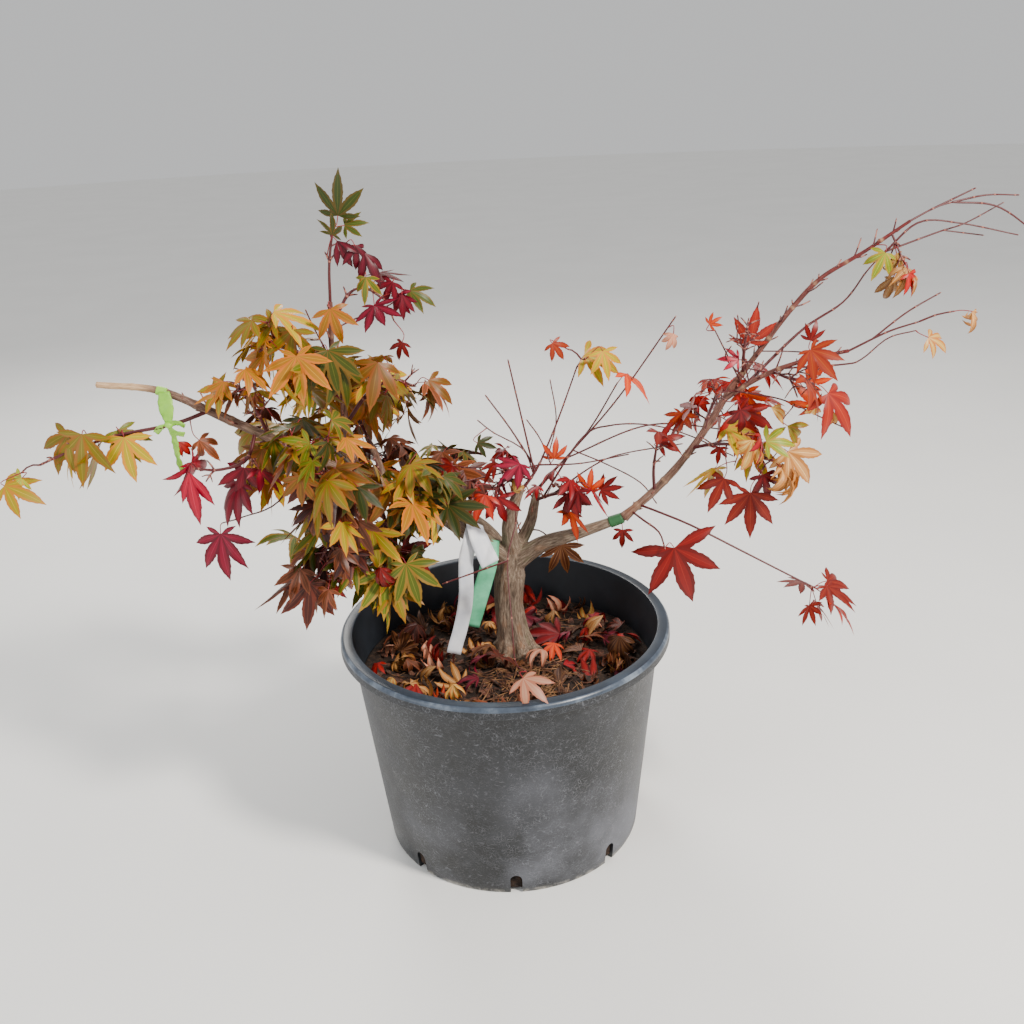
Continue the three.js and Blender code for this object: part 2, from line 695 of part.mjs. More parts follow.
// Opposite leaves, or a single end leaf, where a twig has a node
function leavesAt(curve, t, turn, count, growth) {
  const { spec, random01 } = growth;
  const node = frameAt(curve, t, quietAxis(curve));
  const pieces = [];
  for (let i = 0; i < count; i += 1) {
    if (random01() > spec.leafy) continue;
    for (let attempt = 0; attempt < TWIG.tries; attempt += 1) {
      const around = turn + Math.PI * i + radians(PETIOLE.turnSpread) * (random01() - 0.5);
      const heading = branchOff(node, around, radians(count > 1 ? PETIOLE.angle : PETIOLE.endAngle));
      const size = LEAF.size * (spec.leafScale ?? 1) * (1 + LEAF.sizeSpread * (2 * random01() - 1));
      const tilt = mix(...(spec.tilt ?? LEAF.tilt), random01());
      const start = node.point.clone().addScaledVector(heading, PETIOLE.rootSide);
      const leaf = leafAt(start, heading, size, tilt, growth);
      if (leaf) {
        pieces.push(leaf);
        break;
      }
    }
  }
  return pieces;
}

// A twig that leaves a stem, with its leaves, or nothing where it has no room
function twigAt(node, turn, growth) {
  const { spec, roomFor, blades, wood, finished, random01 } = growth;
  for (let attempt = 0; attempt < TWIG.tries; attempt += 1) {
    const around = turn + radians(TWIG.turnSpread) * (random01() - 0.5);
    const heading = branchOff(node, around, radians(TWIG.angle + TWIG.angleSpread * (2 * random01() - 1)));
    heading.z += TWIG.rise * spec.rise;
    const length = spec.twig * (1 + TWIG.spread * (2 * random01() - 1));
    const tip = node.point.clone().addScaledVector(heading.normalize(), length);
    const middle = node.point.clone().lerp(tip, 0.5).add(vector([0, 0, TWIG.lift * length]));
    const twig = curveThrough([node.point.toArray(), middle.toArray(), tip.toArray()]);
    const samples = Array.from({ length: 8 }, (_, i) => twig.getPoint((i + 1) / 8));
    if (!samples.every((point) => roomFor(point, ROOM.twigLimb))) continue;
    if (isNear(samples, blades, ROOM.twig)) continue;
    if (isNear(samples.slice(3), wood, ROOM.twig)) continue;
    const body = tube(twig, [TWIG.root, TWIG.tip], TWIG.sides, TWIG.step);
    if (meets(body, finished)) continue;
    const leaves = leavesAt(twig, 1 - TWIG.bud / length, around, 2, growth);
    if (length > TWIG.twoNodes) leaves.push(...leavesAt(twig, 0.4, around + Math.PI / 2, 2, growth));
    if (!leaves.length) continue;
    wood.push(cluster(samples));
    return [body, ...leaves];
  }
  return [];
}

// The swollen bud where a shoot bears its leaf
function budAt(point) {
  const bud = new THREE.OctahedronGeometry(SHOOT.bud);
  bud.translate(point.x, point.y, point.z);
  return solid(bud);
}

// Twigs stand in opposite pairs along the stem, each pair turned a quarter from the last
function growMass(mass, masses, obstacles, blades, wood, finished) {
  const { spec, curve, radii, shoots } = mass;
  const roomFor = (point, limbRoom) => hasRoom(point, mass, masses, obstacles, limbRoom);
  const growth = { spec, roomFor, wood, blades, finished, random01: random(spec.seed) };
  const pieces = [tube(curve, radii, STEM.sides, STEM.step)];
  const axis = quietAxis(curve);
  for (let pair = 0; pair < spec.pairs; pair += 1) {
    const node = frameAt(curve, mix(spec.bare, STEM.lastNode, (pair + 0.5) / spec.pairs), axis);
    for (const half of [0, 1]) pieces.push(...twigAt(node, (Math.PI / 2) * pair + Math.PI * half, growth));
    for (const share of pair < spec.pairs - 1 ? STEM.leafNodes : []) {
      const between = mix(spec.bare, STEM.lastNode, (pair + 0.5 + share) / spec.pairs);
      pieces.push(...leavesAt(curve, between, Math.PI * (0.5 * pair + 0.25 + share), 2, growth));
    }
  }
  for (const shoot of shoots) {
    pieces.push(tube(shoot.curve, shoot.radii, TWIG.sides, TWIG.step));
    if (!shoot.leaves) continue;
    const node = 1 - TWIG.bud / shoot.curve.getLength();
    pieces.push(budAt(shoot.curve.getPoint(node)), ...leavesAt(shoot.curve, node, 0, shoot.leaves, growth));
  }
  pieces.push(...leavesAt(curve, 1 - TWIG.bud / curve.getLength(), 0, spec.ends ?? 2, growth));
  let body = largest(wasm.Manifold.union(pieces));
  for (const limb of Object.values(limbs)) body = body.subtract(limb.grown);
  return largest(body);
}

// The pot: a tapered wall, a hollow turned-over lip, and arched drain slots round the foot
function makePot() {
  const { height, rimRadius, lipDrop, lipWall, shoulderRadius, footRadius, wall, floor, sides } = POT;
  const profile = [
    [0, 0],
    [footRadius, 0],
    [shoulderRadius, height - lipWall],
    [rimRadius - lipWall, height - lipWall],
    [rimRadius - lipWall, height - lipDrop],
    [rimRadius, height - lipDrop],
    [rimRadius, height],
    [shoulderRadius - wall, height],
    [footRadius - wall, floor],
    [0, floor],
  ];
  const shell = new THREE.LatheGeometry(profile.map(([x, y]) => new THREE.Vector2(x, y)), sides);
  shell.rotateX(Math.PI / 2);
  let body = solid(shell);
  const half = SLOT.width / 2;
  const arch = new THREE.Shape();
  arch.moveTo(-half, -1);
  arch.lineTo(half, -1);
  arch.lineTo(half, SLOT.height - half);
  arch.absarc(0, SLOT.height - half, half, 0, Math.PI);
  arch.lineTo(-half, -1);
  for (let i = 0; i < SLOT.count; i += 1) {
    const depths = { depth: 2 * SLOT.depth, bevelEnabled: false, curveSegments: SLOT.archSteps };
    const cut = new THREE.ExtrudeGeometry(arch, depths);
    cut.rotateX(Math.PI / 2);
    cut.translate(0, SLOT.depth - footRadius, 0);
    cut.rotateZ((2 * Math.PI * i) / SLOT.count);
    body = body.subtract(solid(cut));
  }
  return body;
}

// Radius of the pot's inner wall at a height
function innerRadius(z) {
  return mix(POT.footRadius, POT.shoulderRadius, (z - POT.floor) / (POT.height - POT.floor)) - POT.wall;
}

// Height of the compost: level round the trunk and at the wall, and uneven between
function compostHeight(x, y) {
  const fromTrunk = Math.hypot(x - TRUNK.path[0][0], y - TRUNK.path[0][1]);
  const fromWall = innerRadius(SOIL.level) - Math.hypot(x, y);
  const rise = (distance, from) => THREE.MathUtils.smoothstep(distance, from, from + SOIL.rise);
  const share = rise(fromTrunk, SOIL.levelRoundTrunk) * rise(fromWall, SOIL.levelByWall);
  const wave = Math.sin(x / SOIL.wave) * Math.cos(y / SOIL.wave);
  return SOIL.level + SOIL.bump * share * wave;
}

// The compost fills the pot, with fallen leaves lying on it
function makeSoil() {
  const top = SOIL.rings.map((share) => [share * (innerRadius(SOIL.level) - GAP), SOIL.level]);
  const foot = POT.floor + GAP;
  const profile = [[0, foot], [innerRadius(POT.floor) - GAP, foot], ...top, [0, SOIL.level]];
  const fill = new THREE.LatheGeometry(profile.map(([x, y]) => new THREE.Vector2(x, y)), POT.sides);
  fill.rotateX(Math.PI / 2);
  const position = fill.attributes.position;
  for (let i = 0; i < position.count; i += 1) {
    const [x, y, z] = [position.getX(i), position.getY(i), position.getZ(i)];
    if (z > 2 * foot) position.setZ(i, compostHeight(x, y));
  }
  const random01 = random(LITTER.seed);
  const pieces = [solid(fill)];
  for (let i = 0; i < LITTER.count; i += 1) {
    const angle = LITTER.turn * i + random01();
    const away = mix(LITTER.nearest, LITTER.furthest, random01());
    const [x, y] = [away * Math.cos(angle), away * Math.sin(angle)];
    const ahead = vector([random01() - 0.5, random01() - 0.5, 0]);
    const matrix = bladeMatrix(vector([x, y, compostHeight(x, y) + LITTER.lift]), ahead, vector([0, 0, 1]));
    const fromTrunk = Math.hypot(x - TRUNK.path[0][0], y - TRUNK.path[0][1]);
    if (fromTrunk > LITTER.nearest) pieces.push(leafSolid(LITTER.size, LITTER.droop * random01(), matrix));
  }
  return largest(wasm.Manifold.union(pieces));
}

// The labels hang from the left bough, and are cut clear of it where they loop over it
function makeLabels() {
  const { white, green, across } = LABELS;
  const loop = strip(white.tongue, white.width, across).add(strip(white.tail, white.width, across));
  const clear = (body) => largest(body.subtract(limbs.left_bough.grown).subtract(limbs.trunk.grown));
  return { white: clear(loop), green: clear(strip(green.path, green.width, across)) };
}

// A band round a limb between two shares of its length
function band(limb, [from, to], thickness) {
  const points = [from, (from + to) / 2, to].map((t) => limb.curve.getPoint(t).toArray());
  const radii = [from, to].map((t) => along(limb.radii, t) + thickness + GAP);
  return tube(curveThrough(points), radii, 8, 100);
}

function makeTies() {
  const { right, left } = TIES;
  const tape = band(limbs[right.on], right.at, right.thickness).subtract(limbs[right.on].grown);
  const knot = limbs[left.on].curve.getPoint(left.at[0]);
  const tail = left.tail.map((offset) => knot.clone().add(vector(offset)).toArray());
  const ribbon = band(limbs[left.on], left.at, left.thickness).add(strip(tail, left.width, [1, 0.1, 0]));
  return { tape: largest(tape), ribbon: largest(ribbon.subtract(limbs[left.on].grown)) };
}

const plant = new THREE.Group();

function add(name, body, colour, roughness) {
  const looks = { color: COLOURS[colour], roughness, metalness: 0, flatShading: true };
  const material = new THREE.MeshStandardMaterial(looks);
  const mesh = new THREE.Mesh(geometryOf(body), material);
  mesh.name = name;
  plant.add(mesh);
}

makeBoughs();
add("pot", makePot(), "pot", 0.5);
add("soil", makeSoil(), "soil", 0.95);
for (const [name, limb] of Object.entries(limbs)) add(name, limb.body, "bark", 0.85);

const ties = makeTies();
const labels = makeLabels();
add("label_white", labels.white, "white", 0.4);
add("label_green", labels.green, "green", 0.4);
add("tie_right", ties.tape, "tape", 0.6);
add("tie_left", ties.ribbon, "ribbon", 0.5);

const masses = planMasses();
const obstacles = [
  ...Object.entries(limbs).flatMap(([name, limb]) => stretchesOf(limb.curve, limb.radii, name)),
  ...masses.flatMap(({ name, curve, radii, shoots }) => [
    ...stretchesOf(curve, radii, name),
    ...shoots.flatMap((shoot) => stretchesOf(shoot.curve, shoot.radii, name)),
  ]),
  ...[LABELS.white.tongue, LABELS.white.tail, LABELS.green.path].flatMap((points) => {
    return stretchesOf(curveThrough(points), [LABELS.green.width / 2, LABELS.green.width / 2], "label");
  }),
];
const blades = [];
const wood = masses.flatMap(({ curve, shoots }) => {
  const paths = [curve, ...shoots.map((shoot) => shoot.curve)];
  return paths.map((path) => cluster(path.getSpacedPoints(POINTS_ON_STEM)));
});
const finished = [];
for (const mass of masses) {
  finished.push(growMass(mass, masses, obstacles, blades, wood, finished));
  add(mass.name, finished.at(-1), mass.spec.tint, 0.7);
}

export default plant;
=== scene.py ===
# A Japanese maple in autumn leaf in a black nursery pot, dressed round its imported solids.
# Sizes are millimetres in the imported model's frame, and make_object turns them into metres.
# The plant grows by the same rule as the solids, carried on to finer twigs and more leaves.
import math

import bmesh
import bpy
import numpy as np
from mathutils import Matrix, Vector, noise


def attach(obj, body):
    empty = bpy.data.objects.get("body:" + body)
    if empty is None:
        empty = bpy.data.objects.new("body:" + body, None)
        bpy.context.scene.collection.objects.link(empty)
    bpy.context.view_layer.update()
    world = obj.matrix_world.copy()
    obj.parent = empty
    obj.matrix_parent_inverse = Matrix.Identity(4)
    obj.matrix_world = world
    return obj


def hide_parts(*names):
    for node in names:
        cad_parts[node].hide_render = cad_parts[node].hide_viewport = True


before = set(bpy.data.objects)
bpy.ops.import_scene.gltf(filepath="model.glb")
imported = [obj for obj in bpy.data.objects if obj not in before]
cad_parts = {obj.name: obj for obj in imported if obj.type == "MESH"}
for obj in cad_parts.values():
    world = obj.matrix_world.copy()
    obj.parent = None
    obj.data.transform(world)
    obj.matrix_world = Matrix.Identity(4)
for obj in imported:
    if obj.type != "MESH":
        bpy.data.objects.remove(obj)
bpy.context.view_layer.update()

MM = 0.001

# About a full turn in radians, for headings that are dealt out at random
FULL_TURN = 6.3

# The camera's place, the right and up of its view, its lens for a square frame, and its reach in metres
CAMERA = {
    "place": (16.2, -1223.3, 950.0),
    "right": (0.99891, -0.01759, -0.04314),
    "up": (0.04658, 0.37700, 0.92504),
    "lens": 36.87,
    "sensor": 36,
    "sees": 60,
}

# Each studio light: its place in metres, size, power and colour
LIGHTS = {
    "key": ((1.7, -1.4, 2.4), 0.5, 120, (1, 0.95, 0.88)),
    "fill": ((-2.0, -1.6, 1.5), 1.8, 24, (0.9, 0.95, 1)),
    "rim": ((-0.8, 2.2, 2.0), 1.2, 45, (1, 0.97, 0.92)),
}

# The point that the lights face, the light of the sky, and the round white floor
LIT_POINT = (0, 0, 0.42)
SKY = {"colour": (0.95, 0.955, 0.96, 1), "strength": 0.68}
FLOOR = {"reach": 14000, "sides": 96, "drop": 0.3}

# The lip's outer edge is painted pale, as a highlight, from edge_from below its top, and edge is the bevel
# inside
POT = {
    "height": 300,
    "foot_radius": 172,
    "shoulder_radius": 202,
    "rim_radius": 215,
    "lip_drop": 15,
    "lip_wall": 3,
    "wall": 3.2,
    "floor": 5,
    "sides": 192,
    "edge": 1.6,
    "edge_from": 5.5,
}

SLOT = {"count": 8, "width": 15, "height": 29, "depth": 22, "below": 2, "steps": 10}
SOIL = {"level": 236, "bump": 5, "wave": 20, "level_round_trunk": 70, "level_by_wall": 2, "rise": 38}

# Middle line of the trunk, its radius at the same points, and the ridges that widen into root flare
TRUNK = {
    "path": [(12, 30, 226), (10, 30, 262), (6, 29, 306), (10, 27, 350), (17, 26, 396)],
    "radii": [30, 20.5, 18.5, 20.5, 10],
    "ridges": 5,
    "ridge_twist": 3,
    "ridge_at_foot": 0.2,
    "ridge_above": 0.05,
    "flare_height": 34,
}

# Surface roots that run out of the flare: heading in degrees, reach and radius
ROOTS = [(-62, 46, 9), (-14, 48, 9), (48, 40, 8), (120, 40, 8), (176, 44, 8), (-122, 42, 8)]

# How far out and how high each root leaves the trunk, and its radii as shares
ROOT = {"leaves": ((7, 44), (21, 19)), "radii": (0.8, 1, 0.5), "sides": 16, "rings": 14}

# How finely a curve is measured, and how far apart the points are that give its direction
CURVE = {"samples": 201, "nudge": 1e-4}

# A limb's blunt ends stand out by these shares of its radius
CAPS = (0.3, 0.6)

# The skin that fuses the trunk and first boughs, and the collar where a bough leaves the trunk
SKIN = {"sides": 48, "rings": 60, "voxel": 1.3, "soften": 0.5, "passes": 6}
COLLAR = {"swell": 1.18, "sides": 24, "rings": 40}

# Bark: sizes of its ridges and fine cracks across and along a limb, and their depths as shares of the radius
BARK = {"ridge": (7, 60, 0.07), "crack": (2.6, 26, 0.05), "next_limb": 137, "step": 6}

# Outer boughs: rings, the collar at the root, uneven skin, and the scars of old buds along them
BRANCH = {
    "sides": 14, "ring_gap": 3, "collar": 0.35, "collar_length": 8, "uneven": (4, 30, 0.16),
    "scar_gap": 46, "scar": (0.14, 2.2), "pale_scar": (0.55, 1.6), "next_limb": 300,
}

# The end of the outer left bough is a bare bleached stub: where it starts, and how fast it pales
STUB = {"limb": "left_bough_outer", "start": 0.8, "run": 0.06}

# Each bough: the limb that carries it, its place there, its further points and its end radii
BOUGHS = {
    "left_bough": ("trunk", 0.88, [(-42, 18, 419), (-75, 10, 448), (-112, 1, 476)], (12, 8)),
    "right_bough": ("trunk", 0.84, [(53, 18, 397), (100, 6, 416), (157, -2, 438)], (12, 5.5)),
    "left_stem": ("trunk", 0.93, [(12, 17, 425), (19, 12, 456), (28, 10, 480)], (11, 6)),
    "right_stem": ("trunk", 0.9, [(38, 44, 414), (45, 51, 436), (50, 56, 458)], (8.5, 5)),
    "back_bough": ("trunk", 0.86, [(-20, 70, 402), (-78, 112, 428), (-142, 130, 460)], (8.5, 4)),
    "left_bough_outer": (
        "left_bough", 1,
        [(-180, -12, 517), (-261, -24, 567), (-333, -34, 611), (-387, -42, 641), (-452, -48, 652)],
        (7.6, 3.4),
    ),
    "left_leader": ("left_bough_outer", 0.17, [(-180, -2, 562), (-181, 6, 618)], (4.8, 3.9)),
    "left_leader_top": ("left_leader", 1, [(-188, 6, 668), (-184, 4, 724)], (3.8, 2.8)),
    "left_back_bough": ("left_bough_outer", 0.08, [(-150, 36, 514), (-168, 78, 536)], (5, 3.4)),
    "left_front_bough": ("left_bough_outer", 0.1, [(-148, -44, 502), (-160, -84, 506)], (5, 3.4)),
    "right_bough_upper": ("right_bough", 1, [(208, 4, 482), (249, 10, 530), (289, 16, 592)], (5.4, 4)),
    "right_bough_top": (
        "right_bough_upper", 1,
        [(328, 20, 644), (363, 24, 689), (397, 28, 722), (447, 34, 749), (500, 40, 781)],
        (3.7, 1.9),
    ),
    "right_bough_outer": (
        "right_bough_upper", 0.95, [(330, 8, 612), (376, 0, 630), (424, -6, 640)], (3.2, 2.2),
    ),
}

THICK_LIMBS = ("trunk", "left_bough", "right_bough", "left_stem", "right_stem", "back_bough")

# How red the bark of each limb is, from 0 for old grey bark to 1 for a young shoot
REDNESS = {
    "left_bough_outer": 0.35,
    "left_leader": 0.45,
    "left_leader_top": 0.6,
    "left_back_bough": 0.35,
    "left_front_bough": 0.35,
    "right_bough_upper": 0.5,
    "right_bough_top": 0.95,
    "right_bough_outer": 0.9,
}

# The foliage masses of the solids, where they differ from MASS. mix deals tints out to the sprays.
MASSES = {
    "leaves_left_top": dict(
        keep=0.3, on="left_leader_top", at=1, stem=[(-180, 2, 768), (-170, -3, 812)], pairs=1, twig=10,
        rise=1, seed=11, tint="olive", scale=0.68, tilt=(-1.4, -1),
    ),
    "leaves_left_crest": dict(
        keep=0.45, on="left_leader_top", at=0.7, stem=[(-164, 12, 730), (-144, 18, 736), (-124, 22, 722)],
        pairs=2, twig=12, leafy=0.8, rise=0.2, seed=12, tint="wine", scale=0.85,
        mix={"wine": 3, "rose": 1, "russet": 1},
    ),
    "leaves_left_upper": dict(
        keep=0.46, on="left_leader", at=0.9, stem=[(-206, -14, 654), (-234, -26, 682), (-256, -32, 690)],
        twig=26, leafy=0.85, rise=0.2, seed=13, tint="gold",
        mix={"gold": 3, "amber": 2, "olive": 1, "lime": 0.5},
    ),
    "leaves_left_upper_right": dict(
        keep=0.4, on="left_leader", at=0.62, stem=[(-150, 14, 612), (-120, 24, 622), (-96, 30, 612)],
        twig=26, leafy=0.85, rise=0.2, seed=14, tint="amber",
        mix={"amber": 3, "russet": 2, "gold": 1, "olive": 1},
    ),
    "leaves_left_shoulder": dict(
        keep=0.4, on="left_bough_outer", at=0.42, stem=[(-278, -36, 610), (-296, -46, 644)],
        pairs=2, twig=22, bare=0.2, leafy=0.8, rise=0.2, seed=15, tint="russet", scale=0.8,
        mix={"russet": 2, "gold": 2, "amber": 1},
    ),
    "leaves_left_heart": dict(
        keep=0.8, on="left_front_bough", at=1, stem=[(-182, -100, 532), (-200, -108, 558), (-208, -104, 584)],
        twig=34, bare=0, rise=0.2, seed=16, tint="amber",
        mix={"amber": 2, "gold": 2, "olive": 1, "moss": 1, "russet": 1, "lime": 1, "plum": 1},
    ),
    "leaves_left_inner": dict(
        keep=0.75, on="left_bough", at=0.93, stem=[(-100, -34, 496), (-98, -64, 510), (-104, -90, 522)],
        twig=30, seed=17, tint="olive",
        mix={"olive": 2, "moss": 1, "gold": 1, "amber": 1},
    ),
    "leaves_left_low": dict(
        keep=0.75, on="left_front_bough", at=0.75,
        stem=[(-180, -90, 482), (-200, -96, 460), (-212, -96, 440)],
        twig=30, bare=0, rise=-0.1, seed=18, tint="plum",
        mix={"plum": 3, "moss": 1, "olive": 1, "russet": 1},
    ),
    "leaves_left_skirt": dict(
        keep=0.65, on="left_front_bough", at=0.4, stem=[(-136, -58, 468), (-140, -74, 444), (-146, -82, 424)],
        twig=28, bare=0.2, rise=-0.1, seed=19, tint="olive",
        mix={"olive": 2, "moss": 1, "gold": 1, "scarlet": 1},
    ),
    "leaves_left_back": dict(
        on="left_back_bough", at=1, stem=[(-180, 100, 560), (-188, 112, 590)],
        pairs=2, twig=36, bare=0, leafy=0.9, rise=0.2, seed=20, tint="gold",
        mix={"gold": 2, "amber": 2, "olive": 1},
    ),
    "leaves_left_side": dict(
        keep=0.7, on="left_bough_outer", at=0.37, stem=[(-256, 16, 546), (-280, 48, 534)],
        pairs=2, twig=30, leafy=0.95, seed=22, tint="amber",
        mix={"amber": 2, "plum": 1, "gold": 1},
    ),
    "leaves_left_red": dict(
        keep=0.12, on="left_bough_outer", at=0.46,
        stem=[(-292, -56, 556), (-322, -64, 548), (-350, -68, 552)],
        pairs=2, twig=16, bare=0.05, leafy=0.9, rise=-0.3, seed=23, tint="rose",
        mix={"rose": 4, "scarlet": 1},
    ),
    "leaves_left_tip": dict(
        keep=0.12, on="left_bough_outer", at=0.6,
        stem=[(-372, -56, 603), (-436, -60, 594), (-490, -68, 580), (-524, -76, 568)],
        twig=14, bare=0.42, rise=-0.1, seed=24, tint="gold",
        mix={"gold": 3, "orange": 1, "amber": 1},
    ),
    "leaves_back": dict(
        on="back_bough", at=1, stem=[(-166, 136, 470), (-186, 136, 470)],
        pairs=2, twig=34, bare=0, leafy=0.9, rise=0.1, seed=29, tint="russet",
        mix={"russet": 2, "amber": 1, "plum": 1},
    ),
    "leaves_back_low": dict(
        on="back_bough", at=0.62, stem=[(-78, 132, 446), (-76, 156, 464)],
        twig=30, bare=0, seed=21, tint="plum",
        mix={"plum": 2, "olive": 1, "russet": 1},
    ),
    "leaves_centre": dict(
        keep=0.4, on="left_stem", at=1, stem=[(20, 0, 494), (4, -8, 500)],
        twig=18, seed=25, tint="scarlet", scale=0.7,
        mix={"scarlet": 1, "wine": 2, "rose": 1, "coral": 1},
    ),
    "leaves_centre_right": dict(
        keep=0.25, on="right_stem", at=0.8, stem=[(64, 34, 458), (84, 20, 468), (98, 10, 480)],
        twig=18, rise=0.2, seed=28, tint="crimson", scale=0.8,
        mix={"crimson": 3, "orange": 1},
    ),
    "twigs_centre_left": dict(
        on="left_stem", at=0.85, stem=[(44, 18, 492), (56, 24, 510)], reach=30, pairs=0,
        seed=26, tint="scarlet", ends=0, mix={"scarlet": 1, "gold": 1},
        shoots=[
            (0.6, (20, 34, 638), 0, 0),
            (0.7, (-10, 44, 592), 4, 0),
            (1, (104, 38, 624), -4, 1),
            (0.4, (-46, 40, 500), 6, 1),
        ],
    ),
    "twigs_centre_right": dict(
        on="right_stem", at=1, stem=[(72, 58, 482), (94, 58, 504)], reach=30, pairs=0,
        seed=27, tint="orange", ends=0,
        shoots=[(1, (153, 30, 604), -6, 1), (0.7, (218, -4, 690), -10, 0), (0.9, (306, 66, 524), 26, 1)],
    ),
    "spray_front": dict(
        keep=0, thin=0.4, on="left_stem", at=0.7,
        stem=[(20, -26, 446), (8, -56, 410), (10, -100, 350), (12, -148, 322), (24, -172, 322)],
        pairs=0, seed=30, tint="blush", scale=0.7, ends=1, tilt=(-0.1, 0.05),
        shoots=[(0.4, (-72, -66, 388), 0, 0)],
    ),
    "leaves_right_hanging": dict(
        keep=0, thin=0.6, on="right_bough_upper", at=0.06,
        stem=[(178, -28, 444), (195, -44, 434), (200, -62, 420)],
        pairs=0, seed=31, tint="crimson", scale=1.1, ends=1, tilt=(1, 1.3),
    ),
    "twig_right_arching": dict(
        thin=0.6, on="right_bough_upper", at=0.12,
        stem=[(198, -24, 452), (236, -44, 440), (292, -60, 412), (342, -72, 386), (384, -80, 364)],
        pairs=1, twig=12, bare=0.94, rise=-0.8, seed=32, tint="coral", scale=0.8,
    ),
    "leaves_right_inner": dict(
        keep=0.2, on="right_bough_upper", at=0.25, stem=[(192, -16, 506), (194, -26, 540)],
        pairs=1, twig=24, bare=0.3, leafy=0.8, rise=0.1, seed=33, tint="orange", scale=0.85,
        mix={"orange": 2, "coral": 1},
    ),
    "leaves_right_heart": dict(
        keep=0.05, on="right_bough_outer", at=0.4, stem=[(350, -20, 614), (378, -36, 610)],
        twig=24, rise=-0.1, seed=34, tint="orange",
        mix={"orange": 3, "scarlet": 1},
    ),
    "leaves_right_low": dict(
        keep=0.08, on="right_bough_upper", at=0.62, stem=[(268, -20, 536), (300, -36, 536), (328, -44, 520)],
        twig=26, rise=-0.3, seed=35, tint="crimson",
        mix={"crimson": 2, "gold": 1, "straw": 1, "scarlet": 1},
    ),
    "leaves_right_upper": dict(
        keep=0.05, on="right_bough_top", at=0.08, stem=[(300, -4, 646), (300, -16, 676)],
        twig=24, bare=0.15, rise=0.1, seed=36, tint="rose",
        mix={"crimson": 2, "scarlet": 2, "coral": 1},
    ),
    "leaves_right_back": dict(
        keep=0.4, on="right_bough_upper", at=0.72, stem=[(276, 56, 562), (300, 92, 576)],
        twig=32, leafy=0.9, seed=37, tint="scarlet",
        mix={"scarlet": 2, "orange": 1, "crimson": 1},
    ),
    "leaves_right_dried": dict(
        keep=0.2, on="right_bough_top", at=0.92, stem=[(484, 28, 752), (492, 22, 734)],
        pairs=2, twig=12, leafy=0.9, rise=-0.6, seed=38, tint="scarlet", scale=0.7,
        mix={"scarlet": 1, "straw": 2},
    ),
    "twigs_right_top": dict(
        on="right_bough_top", at=1, stem=[(530, 46, 794), (552, 50, 799)], reach=30, pairs=0,
        seed=39, tint="straw", ends=0,
        shoots=[(1, (636, 64, 802), 4, 0), (1, (660, 50, 756), 14, 0), (0.4, (584, 66, 812), 0, 0)],
    ),
    "twigs_right_outer": dict(
        on="right_bough_outer", at=1, stem=[(466, -12, 662), (500, -18, 674)], reach=30, pairs=0,
        seed=40, tint="straw", ends=0, scale=0.7,
        shoots=[(1, (536, -26, 686), 2, 1), (0.3, (530, 4, 702), 4, 0)],
    ),
}

# Growth by the rule of the solids, with angles in degrees
STEM = {
    "root": 3, "tip": 2, "limb_share": 0.8, "taper": 0.8, "leaf_nodes": (0.33, 0.67), "last_node": 0.97,
    "bark": (0.85, 0.7), "node_gap": 60,
}

TWIG = {
    "root": 1.3, "tip": 0.8, "spread": 0.22, "angle": 54, "angle_spread": 10, "turn_spread": 52,
    "lift": 0.06, "rise": 0.4, "tries": 6, "two_nodes": 26, "bud": 5, "second_node": 0.4,
}

SHOOT = {"radii": (1.3, 0.9), "node_gap": 50, "reach": 26}

# How a twig is drawn: the half length of a node's pale ring, its swelling and its bud's length in radii
TWIG_SKIN = {"sides": 6, "step": 9, "ring": 0.9, "swell": 1.4, "shoulder": 1.1, "bud": 2}

TWIGLET = {"share": 0.62, "at": 0.5, "shortest": 10, "root": 0.9, "tip": 0.6}

PETIOLE = {
    "length": 21, "spread": 0.35, "angle": 52, "end_angle": 9, "turn_spread": 69, "bend": 80,
    "off_twig": 0.4, "radii": (0.55, 0.6), "root": 0.75, "bow": 0.07, "sides": 5, "rings": 5,
}

LEAF = {
    "size": 49, "size_spread": 0.32, "roll": 0.8, "face_front": 0.15, "upright": 0.2, "swing": 1.1,
    "bend": -0.05, "twist": 0.6, "seven_lobes": 0.55, "dry": 0.06,
}

# Curl, fold and spread of the lobes of a fresh leaf and of a dry one
FRESH = {"curl": (0.1, 0.95), "fold": (-0.25, 0.4), "spread": (0.88, 1.04)}
DRY = {"curl": (1.6, 3), "fold": (0.5, 0.9), "spread": 0.78}

# How much the lobes of one leaf differ: angle in degrees, length, start of the bend, and curl
UNLIKE = {"angle": 5, "length": 0.12, "bend": 0.25, "curl": 0.9, "least_curl": 0.05}

# The room that leaves and twigs keep, and how far they may pass the border to another mass
ROOM = {
    "past_border": 26, "leaf": 2.6, "twig": 2, "limb": 3, "twig_limb": 1, "above_soil": 8, "above_rim": 1.5,
    "by_pot": 5, "under": 1,
}

# How far from its stem the space of a mass reaches
REACH = 100

# What a foliage mass has where its row says nothing else. keep and leafy are shares of its leaves.
MASS = {
    "keep": 1, "leafy": 1, "thin": 1, "pairs": 3, "bare": 0.1, "rise": 0, "scale": 1, "tilt": (0.35, 1.5),
    "reach": REACH, "ends": 2, "shoots": (),
}

# Steps along stems and limbs: between the balls of a mass's space, for stretches and for anchors,
# and how many points of a stem the tests for room see
BALL_STEP = 26
STRETCH = {"length": 12, "look": 45}
ANCHOR_GAP = 8
WOOD_SAMPLES = 25

